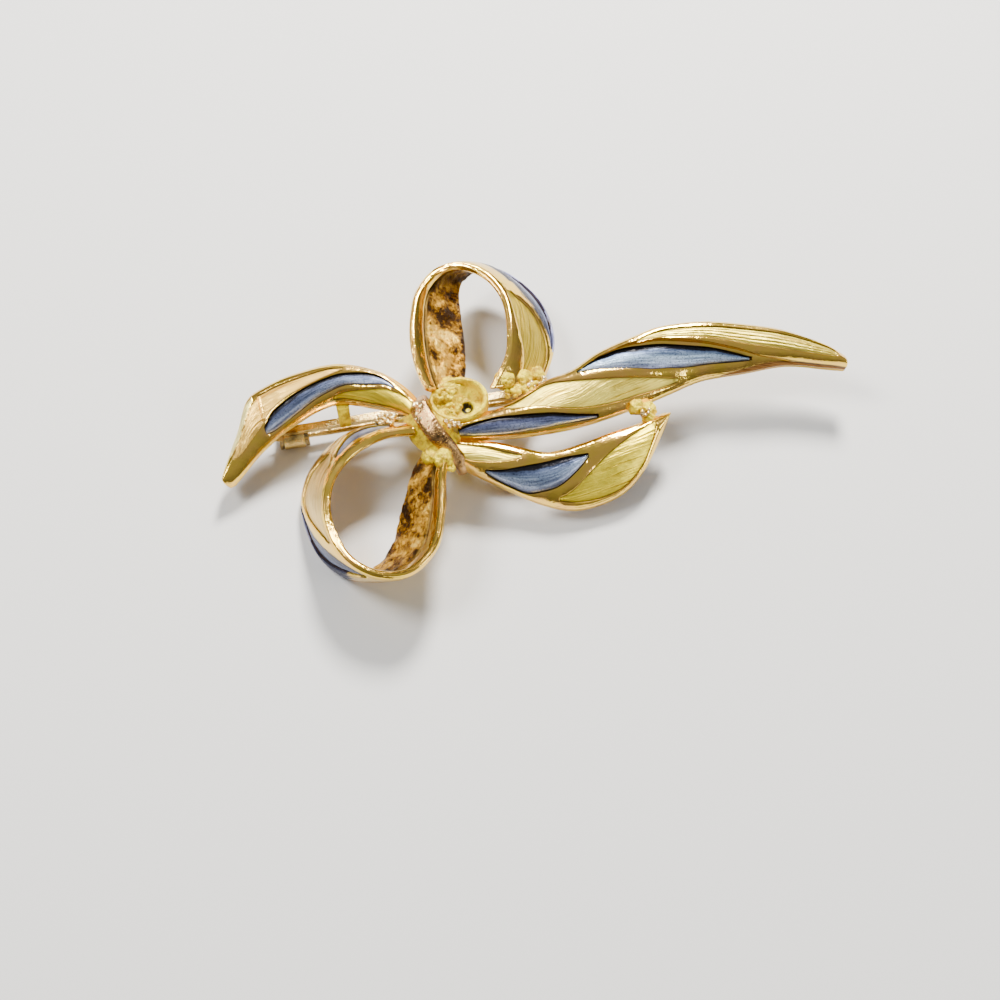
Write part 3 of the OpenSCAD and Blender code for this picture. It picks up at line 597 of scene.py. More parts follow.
# Rows of the fields: place along the ribbon, near side and far side across it
leftEnamel = [
    [0.20, 0.16, 0.20], [0.25, 0.10, 0.27], [0.30, 0.11, 0.40], [0.35, 0.18, 0.48], [0.41, 0.25, 0.58],
    [0.47, 0.33, 0.68], [0.53, 0.42, 0.80], [0.59, 0.51, 0.86], [0.64, 0.57, 0.87], [0.68, 0.70, 0.82]]
leftPeach = [
    [0.38, 0.05, 0.10], [0.45, 0.09, 0.24], [0.52, 0.12, 0.35], [0.58, 0.12, 0.42], [0.64, 0.11, 0.50],
    [0.68, 0.10, 0.60]]
leftPale = [
    [0.04, 0.12, 0.88], [0.10, 0.17, 0.90], [0.18, 0.28, 0.88], [0.24, 0.38, 0.88], [0.29, 0.53, 0.88],
    [0.35, 0.66, 0.87], [0.41, 0.78, 0.86]]
longLow = [
    [0.02, 0.68, 0.86], [0.05, 0.52, 0.88], [0.09, 0.42, 0.89], [0.135, 0.39, 0.90], [0.18, 0.50, 0.90],
    [0.225, 0.63, 0.90], [0.27, 0.72, 0.90], [0.33, 0.82, 0.92], [0.38, 0.91, 0.95]]
longMid = [
    [0.15, 0.07, 0.11], [0.20, 0.08, 0.36], [0.26, 0.10, 0.58], [0.33, 0.20, 0.70], [0.39, 0.36, 0.78],
    [0.44, 0.48, 0.82], [0.49, 0.60, 0.84], [0.55, 0.73, 0.87], [0.60, 0.83, 0.88]]
longHigh = [
    [0.345, 0.05, 0.09], [0.38, 0.05, 0.17], [0.42, 0.08, 0.28], [0.46, 0.10, 0.38], [0.52, 0.19, 0.53],
    [0.58, 0.28, 0.63], [0.63, 0.38, 0.71], [0.68, 0.47, 0.74], [0.72, 0.57, 0.75], [0.76, 0.70, 0.75]]
longTop = [
    [0.50, 0.05, 0.08], [0.58, 0.06, 0.16], [0.66, 0.08, 0.25], [0.73, 0.10, 0.36], [0.80, 0.12, 0.48],
    [0.87, 0.14, 0.55], [0.93, 0.18, 0.48], [0.96, 0.25, 0.35]]
longFold = [
    [0.36, 0.01, 0.03], [0.42, 0.03, 0.05], [0.48, 0.06, 0.08], [0.54, 0.12, 0.14], [0.616, 0.24, 0.26],
    [0.678, 0.36, 0.38], [0.736, 0.50, 0.52], [0.78, 0.68, 0.70], [0.86, 0.88, 0.90], [1.00, 0.90, 0.92]]
shortKnot = [
    [0.03, 0.14, 0.40], [0.07, 0.12, 0.50], [0.12, 0.13, 0.60], [0.17, 0.16, 0.58], [0.24, 0.17, 0.42],
    [0.31, 0.13, 0.18]]
shortEnamel = [
    [0.205, 0.77, 0.83], [0.25, 0.64, 0.88], [0.30, 0.45, 0.90], [0.35, 0.28, 0.88], [0.40, 0.17, 0.73],
    [0.46, 0.12, 0.58], [0.52, 0.12, 0.40], [0.59, 0.16, 0.21]]
shortLeaf = [
    [0.46, 0.80, 0.84], [0.50, 0.70, 0.86], [0.56, 0.52, 0.88], [0.62, 0.37, 0.90], [0.68, 0.26, 0.91],
    [0.74, 0.20, 0.90], [0.80, 0.16, 0.84], [0.85, 0.16, 0.60], [0.885, 0.18, 0.28]]
lowerFront = [
    [0.03, 0.45, 0.85], [0.06, 0.30, 0.88], [0.09, 0.24, 0.78], [0.13, 0.28, 0.66], [0.165, 0.24, 0.48],
    [0.20, 0.17, 0.27]]
lowerPale = [
    [0.19, 0.45, 0.55], [0.22, 0.28, 0.68], [0.28, 0.14, 0.78], [0.34, 0.12, 0.80], [0.39, 0.12, 0.62],
    [0.43, 0.10, 0.32], [0.46, 0.08, 0.14]]
lowerSide = [
    [0.37, 0.86, 0.90], [0.40, 0.80, 0.91], [0.44, 0.64, 0.91], [0.47, 0.46, 0.90], [0.50, 0.28, 0.86],
    [0.53, 0.16, 0.72], [0.56, 0.10, 0.45], [0.59, 0.09, 0.16]]
upperEnamel = [
    [0.50, 0.88, 0.92], [0.55, 0.80, 0.91], [0.60, 0.68, 0.91], [0.65, 0.62, 0.90], [0.69, 0.60, 0.90],
    [0.73, 0.66, 0.90], [0.77, 0.74, 0.91], [0.81, 0.81, 0.91], [0.85, 0.85, 0.92], [0.89, 0.89, 0.92]]
upperSatin = [
    [0.725, 0.10, 0.18], [0.775, 0.11, 0.50], [0.815, 0.14, 0.65], [0.855, 0.20, 0.74], [0.895, 0.28, 0.80],
    [0.95, 0.40, 0.85], [0.98, 0.50, 0.87]]

paleGold = (1.0, 0.79, 0.05)
creamGold = (1.0, 0.81, 0.13)
peachGold = (1.0, 0.64, 0.14)
oliveGold = (0.78, 0.58, 0.05)
brightGold = (1.0, 0.88, 0.34)
navy = (0.024, 0.026, 0.070)
lavender = (0.46, 0.48, 0.74)
# Painted shade: the brown laid as a facet on the long tail's far wall
wallShadeBrown = (0.22, 0.105, 0.03)
warmGold = (1.0, 0.74, 0.28)
# Facets are places of another tint on the rims: rows as for a field, and the tint
leftFacet = [
    [0.70, 0.05, 0.12], [0.76, 0.06, 0.32], [0.84, 0.08, 0.38], [0.92, 0.10, 0.30], [0.97, 0.14, 0.2]]
leftPeachEnd = [
    [0.66, 0.12, 0.56], [0.70, 0.16, 0.66], [0.76, 0.36, 0.70], [0.82, 0.44, 0.66], [0.87, 0.48, 0.56]]
longWall = [
    [0.70, 0.99, 1.01], [0.76, 0.90, 1.01], [0.80, 0.86, 1.01], [0.88, 0.90, 1.01], [0.94, 0.91, 1.01],
    [1.0, 0.92, 1.01]]
lowerStripe = [
    [0.36, 0.84, 0.93], [0.40, 0.78, 0.93], [0.44, 0.62, 0.93], [0.47, 0.44, 0.93], [0.50, 0.26, 0.93],
    [0.53, 0.14, 0.93], [0.56, 0.40, 0.93], [0.60, 0.60, 0.93]]
lowerRim = [[0.32, 0.92, 1.0], [0.45, 0.92, 1.0], [0.62, 0.92, 1.0]]
upperStripe = [
    [0.44, 0.62, 0.93], [0.50, 0.46, 0.93], [0.58, 0.38, 0.93], [0.66, 0.38, 0.93], [0.72, 0.46, 0.93],
    [0.77, 0.60, 0.93], [0.82, 0.74, 0.93], [0.86, 0.86, 0.93]]
upperRim = [[0.44, 0.92, 1.0], [0.60, 0.92, 1.0], [0.90, 0.92, 1.0]]
# A field is its rows, its kind, its tint, how many ridges run along it and, for enamel, the node it fills
def satinField(rows, tint, ridges=0):
    return rows, "satin", tint, ridges, None


def pocketField(rows, nodeName):
    return rows, "pocket", None, 0, nodeName


# sizes are reach, sweep and rise. darkest is where painted shade on a loop's inner wall is deepest and how far
# that spreads, farShade where a ribbon's far side turns dark and how much.
ribbons = {
    "longTail": {
        "rows": longRows, "sizes": (53, 10, 8.5), "kind": "tail", "face": 1,
        "fields": [(longTop, "top", creamGold, 4, None), (longFold, "fold", None, 0, None),
                   pocketField(longHigh, "enamel_long_tail_high"), satinField(longMid, creamGold),
                   pocketField(longLow, "enamel_long_tail_low")],
        "facets": [(longWall, wallShadeBrown)], "farShade": (0.58, 0.5)},
    "shortTail": {
        "rows": shortRows, "sizes": (29, 12.5, 6), "kind": "tail", "face": 1,
        "fields": [satinField(shortKnot, creamGold), pocketField(shortEnamel, "enamel_short_tail"),
                   satinField(shortLeaf, paleGold)]},
    "leftTail": {
        "rows": leftRows, "sizes": (-27, 10, 8), "kind": "tail", "face": -1,
        "fields": [satinField(leftPeach, peachGold), pocketField(leftEnamel, "enamel_left_tail"),
                   satinField(leftPale, paleGold)],
        "facets": [(leftFacet, brightGold), (leftPeachEnd, peachGold)]},
    "upperLoop": {
        "rows": upperRows, "sizes": (18, 25, 9), "kind": "loop", "face": -1,
        "fields": [satinField(upperSatin, oliveGold), pocketField(upperEnamel, "enamel_upper_loop")],
        "facets": [(upperStripe, navy), (upperRim, lavender)], "darkest": (0.40, 0.07)},
    "lowerLoop": {
        "rows": lowerRows, "sizes": (-18, -20, 7.5), "kind": "loop", "face": 1,
        "fields": [pocketField(lowerFront, "enamel_lower_loop_front"), satinField(lowerPale, warmGold, 1),
                   pocketField(lowerSide, "enamel_lower_loop_side")],
        "facets": [(lowerStripe, navy), (lowerRim, lavender)]},
}


def curveThrough(rows, t):
    # Catmull-Rom curve through the rows, with the place counted in rows, carried on straight past both ends
    rows = np.asarray(rows, float)
    padded = np.concatenate([2 * rows[:1] - rows[1:2], rows, 2 * rows[-1:] - rows[-2:-1]])
    i = np.clip(np.floor(t).astype(int), 0, len(rows) - 2)
    f = (t - i)[..., None]
    a, b, c, d = (padded[i + k] for k in range(4))
    return (2 * b + (c - a) * f + (2 * a - 5 * b + 4 * c - d) * f ** 2 + (3 * b - a - 3 * c + d) * f ** 3) / 2


def ribbonEdges(rib, u):
    # Near and far edge in millimetres at the places u from 0 to 1
    r = curveThrough(rib["rows"], u * (len(rib["rows"]) - 1))
    scale = np.array(rib["sizes"])
    up = np.array([0, 0, bow["lift"]])
    return r[..., :3] * scale + up, r[..., 3:] * scale + up


def lengthAlong(near, far):
    middle = (near + far) / 2
    return np.concatenate([[0], np.cumsum(np.linalg.norm(np.diff(middle, axis=0), axis=1))])


def overRibbon(rib, u, v, h):
    # Point over a ribbon: the straight line between its edges, plus its crown and h along the face's normal.
    # u holds one place per row, v and h one value per row and column.
    near, far = ribbonEdges(rib, u)
    step = 0.002
    nearA, farA = ribbonEdges(rib, np.clip(u - step, 0, 1))
    nearB, farB = ribbonEdges(rib, np.clip(u + step, 0, 1))
    w = v[..., None]
    flat = near[:, None] * (1 - w) + far[:, None] * w
    along = (nearB - nearA)[:, None] * (1 - w) + (farB - farA)[:, None] * w
    normal = unit(np.cross(np.broadcast_to((far - near)[:, None], along.shape), along)) * rib["face"]
    rise = bow[rib["kind"] + "Crown"] * np.sin(np.pi * np.clip(v, 0, 1)) + h
    return flat + normal * rise[..., None], normal


def fieldSides(rows, u):
    # Near and far side of a field at places u, and 1 where the field is
    rows = np.asarray(rows, float)
    w = np.clip(u, rows[0, 0], rows[-1, 0])
    place = np.interp(w, rows[:, 0], np.arange(len(rows)))
    r = curveThrough(rows, place)
    on = ((u > rows[0, 0]) & (u < rows[-1, 0])).astype(float)
    return r[:, 1], r[:, 2], on


def foldRise(rib, u):
    # How far the folded end stands proud, rising over the first rows of its step
    for rows, kind, *_ in rib["fields"]:
        if kind == "fold":
            start, full = rows[0][0], rows[2][0]
            return bow["foldStep"] * np.clip((u - start) / (full - start), 0, 1)
    return np.zeros_like(u)


def sectionColumns(rib, u):
    # Where walls, floors and rims fall across a ribbon: places, heights, and the kind and field of each stretch
    near, far = ribbonEdges(rib, u)
    width = np.linalg.norm(far - near, axis=1)
    slope = bow["slope"] / width
    proud = foldRise(rib, u)
    one = np.ones_like(u)
    places, heights = [0 * one, bow["edgeShare"] * one], [proud - bow["edgeRound"], proud]
    kinds, which, active = ["edge"], [None], [one, one]
    depth = {"satin": bow["satinDepth"], "top": bow["satinDepth"], "pocket": bow["pocketDepth"]}
    for k, (rows, kind, *_) in enumerate(rib["fields"]):
        lo, hi, on = fieldSides(rows, u)
        if kind == "fold":
            places += [lo, lo + slope]
            heights += [proud, 0 * one]
            kinds += ["rim", "step"]
            which += [None, k]
            active += [on, on]
            continue
        base = proud if kind == "top" else 0 * one
        deep = depth[kind] * on
        places += [lo - slope, lo, hi, hi + slope]
        heights += [base, base - deep, base - deep, base]
        kinds += ["rim", "wall", "floor", "wall"]
        which += [None, k, k, k]
        active += [on] * 4
    places += [(1 - bow["edgeShare"]) * one, one]
    heights += [0 * one, -bow["edgeRound"] * one]
    kinds += ["rim", "edge"]
    which += [None, None]
    active += [one, one]
    last, least = len(places) - 1, bow["leastStep"]
    for k in range(last - 1, 0, -1):  # a field that has ended makes room for the one after it
        places[k] = np.where(active[k] > 0, places[k], np.minimum(places[k + 1] - least, places[k]))
    for k in range(1, len(places)):
        places[k] = np.minimum(np.maximum(places[k - 1] + least, places[k]), 1 - least * (last - k))
    return places, heights, kinds, which, width


def rimRise(rib, u, v, width):
    # Rounded rise of the rims, from nothing at the edges and at the walls of the fields that are there
    w = width[:, None]
    away = np.minimum(v - bow["edgeShare"], 1 - bow["edgeShare"] - v) * w
    for rows, kind, *_ in rib["fields"]:
        lo, hi, _ = fieldSides(rows, u)
        slope = bow["slope"] / width
        a, b = (lo, lo + slope) if kind == "fold" else (lo - slope, hi + slope)
        gone = 1 - np.clip(np.minimum(u - rows[0][0], rows[-1][0] - u) / bow["fadeShare"], 0, 1)
        gap = np.maximum(np.maximum(a[:, None] - v, v - b[:, None]) * w, 0) + 2 * gone[:, None]
        away = np.minimum(away, gap)
    return bow["rimRise"] * (1 - np.exp(-np.maximum(away, 0) / bow["rimSoft"]))


def ribbonSkin(rib):
    # Closed section of a ribbon at each place along it: its face with rims, walls and floors, round one side,
    # back under it and round the other side. Returns the points, and finish and tint at each; the finish carries
    # painted shade.
    n = bow["rows"]
    u = np.linspace(0, 1, n)
    places, heights, kinds, which, width = sectionColumns(rib, u)
    w = width[:, None]
    v, h, satin, shadeMask, colour = [], [], [], [], []
    plain = np.array([1.0, 1.0, 1.0])
    for k, kind in enumerate(kinds):
        field = rib["fields"][which[k]] if which[k] is not None else None
        count = columnCount[kind] * (2 if field and field[3] > 1 and kind == "floor" else 1)
        s = np.arange(count) / count
        if kind in ("rim", "floor"):
            s = 0.5 - 0.5 * np.cos(np.pi * s)
        s = s[None, :]
        a, b = places[k][:, None], places[k + 1][:, None]
        ha, hb = heights[k][:, None], heights[k + 1][:, None]
        vv = a + (b - a) * s
        hh = ha + (hb - ha) * s
        on = fieldSides(field[0], u)[2][:, None] if field else np.zeros((n, 1))
        gap = (b - a) * w
        toWall = np.minimum(s, 1 - s) * gap
        if kind == "edge":
            t = s if k == 0 else 1 - s
            hh = np.maximum(ha, hb) - bow["edgeRound"] * (1 - np.sqrt(np.clip(1 - (1 - t) ** 2, 0, 1)))
        if kind == "floor":
            ridges = field[3]
            if ridges:
                wave = np.abs(np.sin(np.pi * ridges * s + 0.4))
                hh = hh + on * bow["ridge"] * wave * np.clip(toWall / 0.4, 0, 1)
            hh = hh + on * bow["foot"][0] * np.exp(-toWall / bow["foot"][1])
        v.append(vv)
        h.append(hh)
        isFloor = on * (kind == "floor") * (field is not None and field[2] is not None)
        satin.append(isFloor + 0 * vv)
        # Painted shade: a dark line along each floor beside its walls, and the fields' walls and steps darkened
        line = (kind == "floor") * on * bow["floorLineShade"] * np.exp(-toWall / bow["floorLineShadeWide"])
        shadeMask.append(np.clip(bow["wallShade"].get(kind, 0.0) * on + line, 0, 1) + 0 * vv)
        tone = np.array(field[2]) if field is not None and field[2] is not None else plain
        colour.append(np.broadcast_to(tone, (*vv.shape, 3)))
    wall, soft = bow[rib["kind"] + "Wall"], bow["edgeRound"]
    # Round the far side, back under the ribbon and up the near side
    side = columnCount["side"]
    s = np.arange(side)[None, :] / side
    sideH = -soft - (wall - 2 * soft) * s
    bulge = bow["bulge"] * np.sin(np.pi * s) / w
    proud = foldRise(rib, u)[:, None]
    v.append(1 + bulge)
    h.append(sideH + 0 * w)
    back = 0.5 - 0.5 * np.cos(np.pi * np.arange(columnCount["under"])[None, :] / columnCount["under"])
    loop = rib["kind"] == "loop"
    grooveDeep, grooveWide = bow["groove"]
    groove = loop * np.exp(-((1 - back - bow["flange"]) / grooveWide) ** 2) * np.ones_like(w)
    v.append(1 - back + 0 * w)
    rounding = np.exp(-back * w / bow["backSoft"]) + np.exp(-(1 - back) * w / bow["backSoft"])
    h.append(-wall + soft * rounding + grooveDeep * groove)
    v.append(-bulge)
    h.append(-wall + soft + (proud + wall - 2 * soft) * s + 0 * w)
    under = 2 * side + columnCount["under"]
    v, h = np.concatenate(v, 1), np.concatenate(h, 1)
    top = v.shape[1] - under
    h[:, :top] += rimRise(rib, u, v[:, :top], width)
    pad = np.zeros((n, under))
    satin = np.concatenate(satin + [pad], 1)
    shadeMask = np.concatenate(shadeMask + [pad], 1)
    colour = np.concatenate(colour + [np.broadcast_to(plain, (n, under, 3))], 1)
    for rows, tone in rib.get("facets", []):
        lo, hi, on = fieldSides(rows, u)
        inside = (on[:, None] > 0) & (v[:, :top] > lo[:, None]) & (v[:, :top] < hi[:, None])
        satin[:, :top][inside] = 1.0
        colour[:, :top][inside] = tone
    cast = np.zeros_like(v)
    cast[:, top + side - 2:2 - side] = 1.0
    if loop:  # a smooth flange beside the near edge, and a groove between it and the rough wall, groove and inner wall darkened with painted shade
        inner = slice(top + side, -side)
        cast[:, inner] = np.clip((v[:, inner] - bow["flange"]) / 0.02, 0, 1)
        where, spread = rib.get("darkest", (-1, 0.1))
        # Painted shade over the loop's inner wall, deepest at darkest
        loopShaded = bow["loopShade"] * np.exp(-((u - where) / spread) ** 2)[:, None] * cast[:, inner]
        shadeMask[:, inner] = np.clip(np.maximum(groove * 1.8, loopShaded), 0, 1)
    start, much = rib.get("farShade", (2, 0))
    shadeMask[:, top:top + side] = (much * np.clip((u - start) / 0.05, 0, 1))[:, None]
    # Both ends are rounded over a short length
    length = lengthAlong(*ribbonEdges(rib, u))
    toEnd = np.minimum(length, length[-1] - length)
    r = bow["endRound"]
    inset = (r - np.sqrt(np.clip(r ** 2 - np.clip(r - toEnd, 0, r) ** 2, 0, None)))[:, None]
    middle = -wall / 2
    h = middle + (h - middle) * (1 - inset / (wall / 2) * 0.85)
    v = 0.5 + (v - 0.5) * (1 - 2 * inset / w)
    p, normal = overRibbon(rib, u, v, h)
    uneven = layered(p, bow["faceNoise"]) * (1 - cast) + layered(p, bow["castNoise"]) * cast
    p = p + normal * uneven[..., None]
    place = np.stack([np.broadcast_to(length[:, None], v.shape), v * w, 0 * v], -1)
    finishAndShade = np.stack([satin, cast, shadeMask, np.ones_like(v)], -1)
    tint = np.concatenate([colour, np.ones((*v.shape, 1))], -1)
    return (p + bow["knotAt"]) * mm, place, finishAndShade, tint


def ofCasting(piece):
    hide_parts("bow_casting")
    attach(piece, "brooch")
    return piece


def makeRibbon(name):
    p, place, finishAndShade, tint = ribbonSkin(ribbons[name])
    attributes = [("ribbonPlace", "FLOAT_VECTOR", place), ("finishAndShade", "FLOAT_COLOR", finishAndShade),
                  ("tint", "FLOAT_COLOR", tint)]
    piece = ofCasting(tube(name, p, goldPlate, attributes))
    print("ribbon", name, len(piece.data.polygons))


# How far a stripe goes from slate to its brighter look
enamelShade = {"enamel_long_tail_high": 0.75, "enamel_short_tail": 0.35, "enamel_left_tail": 0.15}


def makeEnamel(name):
    # Each enamel fills its pocket from wall to wall, with a low dome and a grainy skin
    rib = ribbons[name]
    for k, (rows, *_, nodeName) in enumerate(rib["fields"]):
        if not nodeName:
            continue
        u = np.linspace(rows[0][0] + 0.002, rows[-1][0] - 0.002, bow["enamelRows"])
        places, heights, kinds, which, width = sectionColumns(rib, u)
        j = [i for i, (a, b) in enumerate(zip(kinds, which)) if a == "floor" and b == k][0]
        lo, hi = places[j][:, None] + 0.02 / width[:, None], places[j + 1][:, None] - 0.02 / width[:, None]
        s = (0.5 - 0.5 * np.cos(np.pi * np.linspace(0, 1, 22)))[None, :]
        ends = np.clip(np.minimum(u - u[0], u[-1] - u) / bow["fadeShare"], 0, 1)[:, None]
        top = -bow["enamelSink"] + bow["enamelDome"] * (1 - (2 * s - 1) ** 2) * (0.4 + 0.6 * ends)
        v = np.concatenate([lo + (hi - lo) * s, hi - (hi - lo) * np.linspace(0, 1, 5)[None, :]], 1)
        h = np.concatenate([top + 0 * lo, np.full((len(u), 5), 0.03 - bow["pocketDepth"])], 1)
        p, normal = overRibbon(rib, u, v, h)
        bumpy = layered(p, bow["enamelNoise"])
        bumpy[:, 22:] = 0
        p = p + normal * bumpy[..., None]
        length = lengthAlong(*ribbonEdges(rib, u))
        across = (v - lo) / (hi - lo)
        stripeWidth = ((hi - lo) * width[:, None]).max()
        place = np.stack([np.broadcast_to(length[:, None], v.shape), across * stripeWidth, 0 * v], -1)
        finishAndShade = np.stack([across, enamelShade.get(nodeName, 0.0) + 0 * v, 0 * v, np.ones_like(v)], -1)
        piece = tube(nodeName + "_fill", (p + bow["knotAt"]) * mm, blueEnamel,
                     [("ribbonPlace", "FLOAT_VECTOR", place), ("finishAndShade", "FLOAT_COLOR", finishAndShade)])
        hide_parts(nodeName)
        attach(piece, "brooch")


for name in ribbons:
    makeRibbon(name)
    makeEnamel(name)
print("ribbons and enamel made")

# The knot: the band over it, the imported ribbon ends, and the beads of solder, each at a place along and across
# its ribbon, with its share of the full radius
knot = {
    "bandRows": [
        [-1.2, 4.6, 5.0, 0.8], [-1.5, 3.9, 6.8, 1.0], [-1.7, 2.7, 8.0, 1.05], [-1.5, 1.2, 8.5, 1.05],
        [-1.0, -0.4, 8.5, 1.0], [-0.2, -1.9, 8.0, 0.95], [0.9, -3.3, 7.1, 0.85], [1.8, -4.4, 5.9, 0.8],
        [2.3, -5.0, 4.6, 0.7], [1.9, -4.6, 3.6, 0.6]],
    "bandWide": 2.4,
    "bandThick": 1.5,
    "bandCentre": (0.2, -0.3, 5.2),
    "bandDents": [(1.6, 21, 0.05), (0.5, 22, 0.02)],
    "core": (-0.4, 0.4, 6.2),
    "coreRadii": (3.2, 4.2, 1.7),
    "coreTurn": 20,
    "coreLumps": [(1.3, 31, 0.18), (0.5, 32, 0.08)],
    "solderR": 1.3,
    "solderRows": [
        ["upperLoop", 0.98, 0.80, 1.0], ["upperLoop", 0.98, 0.50, 1.0], ["upperLoop", 0.98, 0.20, 0.95],
        ["upperLoop", 0.02, 0.60, 0.95], ["lowerLoop", 0.98, 0.15, 0.9], ["lowerLoop", 0.99, 0.60, 1.0],
        ["lowerLoop", 0.00, 0.80, 0.95], ["shortTail", 0.88, -0.10, 0.7], ["shortTail", 0.90, -0.50, 0.75],
        ["shortTail", 0.84, -0.50, 0.7]],
}
# The hollow ring: a cup with lumps on the left of its floor and a hole on the right, blackened with painted
# shade
ring = {
    "at": (3.3, 2.9, 5.6),
    "radius": 3.7,
    "wall": 0.7,
    "deep": 2.4,
    "squash": 0.86,
    "hole": (0.9, -0.5),
    "holeWide": 0.75,
    "holeDeep": 0.62,
    "holeShadeWide": 0.85,
    "floorGrain": [(0.55, 41, 0.16), (0.3, 42, 0.10)],
    "outerGrain": [(1.5, 43, 0.05)],
}
# Heaps of grains: middle, spread along x and y, and how many
grains = {
    "paleGrains": ("whiteGold", [
        [-6.0, 2.3, 7.0, 1.3, 0.7, 26], [-1.9, 1.3, 8.8, 0.5, 1.6, 16], [1.9, -0.7, 8.2, 0.8, 0.6, 14],
        [13.0, 3.6, 7.0, 1.4, 0.6, 12], [25.9, -2.6, 6.2, 0.7, 0.5, 10]]),
    "goldGrains": ("solderGold", [
        [1.8, 3.7, 8.2, 1.5, 0.7, 30], [11.6, 3.3, 6.9, 2.2, 0.8, 46], [0.1, -5.9, 7.4, 0.8, 0.8, 20],
        [2.2, 1.4, 7.7, 1.2, 1.2, 34]]),
}
grain = {"around": 10, "down": 7, "least": 0.22, "more": 0.20, "high": 0.25, "seed": 71,
         "lumps": [(0.3, 72, 0.05)]}


def makeBand():
    # Rounded strip carried along the band's middle line, flatter outside than a circle
    rows = knot["bandRows"]
    t = np.linspace(0, len(rows) - 1, 110)
    r = curveThrough(rows, t)
    mid = r[:, :3]
    along = unit(np.gradient(mid, axis=0))
    out = mid - np.array(knot["bandCentre"])
    out = unit(out - (out * along).sum(1, keepdims=True) * along)
    side = np.cross(along, out)
    a = turnsOf(48)[None, :]
    flatten = lambda x, power: np.sign(x) * np.abs(x) ** power
    wide = knot["bandWide"] / 2 * r[:, 3:4] * flatten(np.cos(a), 0.75)
    thick = knot["bandThick"] / 2 * flatten(np.sin(a), 0.85)
    ends = np.sqrt(np.clip(np.minimum(t, t[-1] - t) / 0.35, 0.02, 1))[:, None]
    p = mid[:, None] + side[:, None] * (wide * ends)[..., None] + out[:, None] * (thick * ends)[..., None]
    p = p + unit(p - mid[:, None]) * layered(p, knot["bandDents"])[..., None]
    ofCasting(tube("knotBand", (p + bow["knotAt"]) * mm, metals["bandGold"]))


def makeCore():
    # Squashed ball with lumps: packed ribbon ends and solder under the band
    ball = ballOf(96, 56, 0.02)
    p = ball * np.array(knot["coreRadii"])
    p = p + ball * layered(p, knot["coreLumps"])[..., None]
    turn = math.radians(knot["coreTurn"])
    x = p[..., 0] * math.cos(turn) - p[..., 1] * math.sin(turn)
    y = p[..., 0] * math.sin(turn) + p[..., 1] * math.cos(turn)
    p = np.stack([x, y, p[..., 2]], -1) + np.array(knot["core"])
    ofCasting(tube("knotCore", (p + bow["knotAt"]) * mm, metals["solderGold"]))


def makeRing():
    # Turned profile: up the outside, over a rounded rim, and down inside to the floor
    r, wall, deep = ring["radius"], ring["wall"], ring["deep"]
    profile = np.array([
        [0.0, 0.0], [r * 0.5, 0.0], [r * 0.92, 0.0], [r, 0.15], [r, deep - 0.35], [r - 0.08, deep - 0.12],
        [r - wall * 0.3, deep], [r - wall * 0.7, deep], [r - wall * 0.95, deep - 0.2], [r - wall, deep - 0.5],
        [r - wall * 1.05, wall + 0.5], [r - wall * 1.5, wall + 0.12], [r * 0.5, wall], [0.0, wall]])
    t = np.linspace(0, len(profile) - 1, 84)
    line = np.stack([np.interp(t, np.arange(len(profile)), profile[:, c]) for c in (0, 1)], 1)
    out, up = line[None, :, 0], line[None, :, 1]
    a = turnsOf(120)[:, None]
    p = np.stack([out * np.cos(a), out * np.sin(a) * ring["squash"], up + 0 * a], -1)
    inner = np.clip((t - 9.5) / 1.5, 0, 1)[None, :]
    holeX, holeY = ring["hole"]
    spot = np.hypot(p[..., 0] - holeX, p[..., 1] - holeY)
    p[..., 2] -= inner * (np.exp(-(spot / ring["holeWide"]) ** 4) * ring["holeDeep"])
    filled = inner * (out < r - wall * 1.2) * np.clip((0.4 - p[..., 0] + 0.5 * p[..., 1]) / 1.2, 0, 1)
    big, small = (0.5 - np.abs(lumps(p, size, seed)) for size, seed in ((0.8, 44), (0.4, 45)))
    p[..., 2] += filled * (0.9 + 0.5 * big + 0.3 * small)
    rough = layered(p, ring["floorGrain"]) * inner + layered(p, ring["outerGrain"]) * (1 - inner)
    p[..., 2] += rough * (out > 0.2)
    # Painted shade: the hole and the floor round it blackened
    black = np.clip(inner * np.exp(-(spot / ring["holeShadeWide"]) ** 6) * 1.3, 0, 1)[..., None] * np.ones(4)
    p, black = np.swapaxes(p, 0, 1) + np.array(ring["at"]), np.swapaxes(black, 0, 1)
    ofCasting(tube("knotRing", (p + bow["knotAt"]) * mm, metals["ringGold"], [("holeShade", "FLOAT_COLOR", black)]))


def makeSolder():
    # Lumpy beads, run into one another, each sunk by half the full radius
    ball = ballOf(56, 36, 0.03)
    sunk = np.array([[-0.5 * knot["solderR"]]])
    for k, (name, u, v, share) in enumerate(knot["solderRows"]):
        centre = overRibbon(ribbons[name], np.array([u]), np.array([[v]]), sunk)[0][0, 0]
        p = ball * (share * knot["solderR"]) + centre
        spikes = 0.5 - np.abs(lumps(p, 0.55, 53))
        p = p + ball * (lumps(p, 0.9, 51) * 0.20 + spikes * 0.24 + lumps(p, 0.28, 52) * 0.07)[..., None]
        ofCasting(tube("solder%d" % (k + 1), (p + bow["knotAt"]) * mm, metals["solderGold"]))


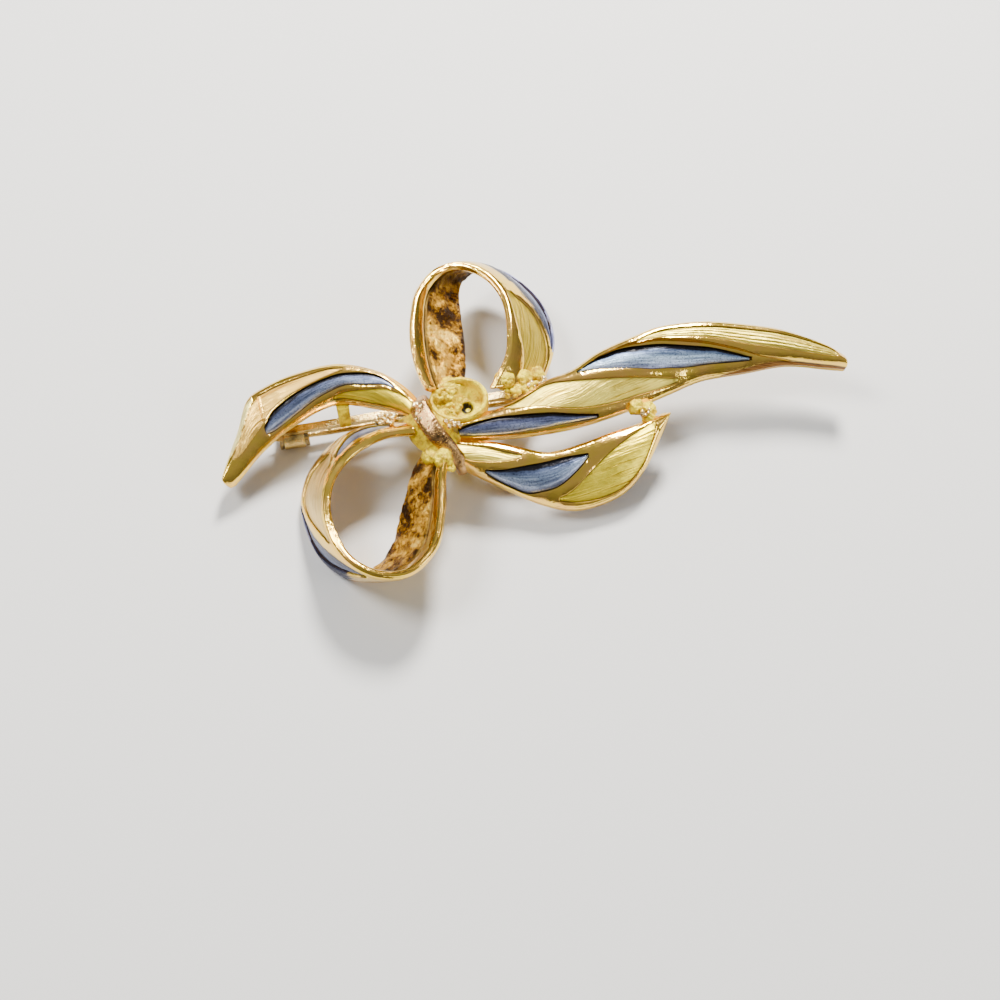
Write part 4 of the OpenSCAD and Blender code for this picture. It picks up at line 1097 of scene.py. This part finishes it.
def makeGrains(name):
    # Small balls of solder strewn over the joints, in one mesh for each metal
    metal, heaps = grains[name]
    around, down = grain["around"], grain["down"]
    ball = ballOf(around, down, 0.12)
    places = []
    for k, (x, y, z, dx, dy, count) in enumerate(heaps):
        i = np.arange(count)
        draw = lambda c: hashed(i, i * 0 + k, i * 0 + c, grain["seed"])
        sx, sy, sz = (2 * draw(c) - 1 for c in range(3))
        radius = grain["least"] + grain["more"] * draw(5)
        places.append(np.stack([x + dx * sx, y + dy * sy, z + grain["high"] * sz, radius], 1))
    places = np.concatenate(places)
    p = places[:, None, None, :3] + ball[None] * places[:, None, None, 3:]
    p = p + ball[None] * layered(p, grain["lumps"])[..., None]
    j = np.arange(around)
    last = (down - 1) * around
    caps = np.concatenate([np.stack([j * 0, j, (j + 1) % around], 1)[1:-1],
                           np.stack([j * 0 + last, last + (j + 1) % around, last + j], 1)[1:-1]])
    step = around * down * np.arange(len(places))[:, None, None]
    quads, tris = (ringQuads(down, around)[None] + step).reshape(-1, 4), (caps[None] + step).reshape(-1, 3)
    ofCasting(putMesh(name, (p.reshape(-1, 3) + bow["knotAt"]) * mm, quads, tris, metals[metal]))


for name in grains:
    makeGrains(name)
makeBand()
makeCore()
makeRing()
makeSolder()
print("knot made")

# Straps that carry the pin's bar, from the bar up to the tails. The foot is at the height of the pin, plus the
# bar's gap from it, its thickness and the seat's gap.
strap = {
    "wide": 1.6,
    "deep": 2.0,
    "low": 1.32 + 1.5 + 0.6 + 0.02,
    "pinSide": 5.2,
    "dents": [(0.8, 61, 0.05)],
    "left": {"along": -11.0, "topSide": 0.8, "topDeep": 1.0, "topZ": 5.54},
    "right": {"along": 12.7, "topSide": -1.8, "topDeep": 1.6, "topZ": 6.7},
}


def makeStrap(name):
    # Rounded block drawn from its foot on the bar to its head under the ribbon
    s = strap[name]
    t = np.linspace(0, 1, 24)[:, None]
    a = turnsOf(40)[None, :]
    square = lambda x: np.sign(x) * np.abs(x) ** 0.45
    y = strap["pinSide"] + s["topSide"] * t
    deep = (strap["deep"] * (1 - t) + s["topDeep"] * t) / 2
    p = np.stack([s["along"] + strap["wide"] / 2 * square(np.cos(a)) + 0 * t,
                  y + deep * square(np.sin(a)), strap["low"] + (s["topZ"] - strap["low"]) * t + 0 * a], -1)
    flat = p - np.stack([np.full_like(t, s["along"]) + 0 * a, y + 0 * a, p[..., 2]], -1)
    p = p + unit(flat) * layered(p, strap["dents"])[..., None]
    ofCasting(tube(name + "Strap", (p + bow["knotAt"]) * mm, metals["solderGold"]))


makeStrap("left")
makeStrap("right")
# The catch gets the darker metal as painted shade
for name in ("pin_bar", "hinge_rivet", "pin_stem", "catch_tube"):
    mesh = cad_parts[name].data
    mesh.materials.clear()
    mesh.materials.append(metals["catchShadedMetal" if name == "catch_tube" else "pinMetal"])
print("pin work dressed")
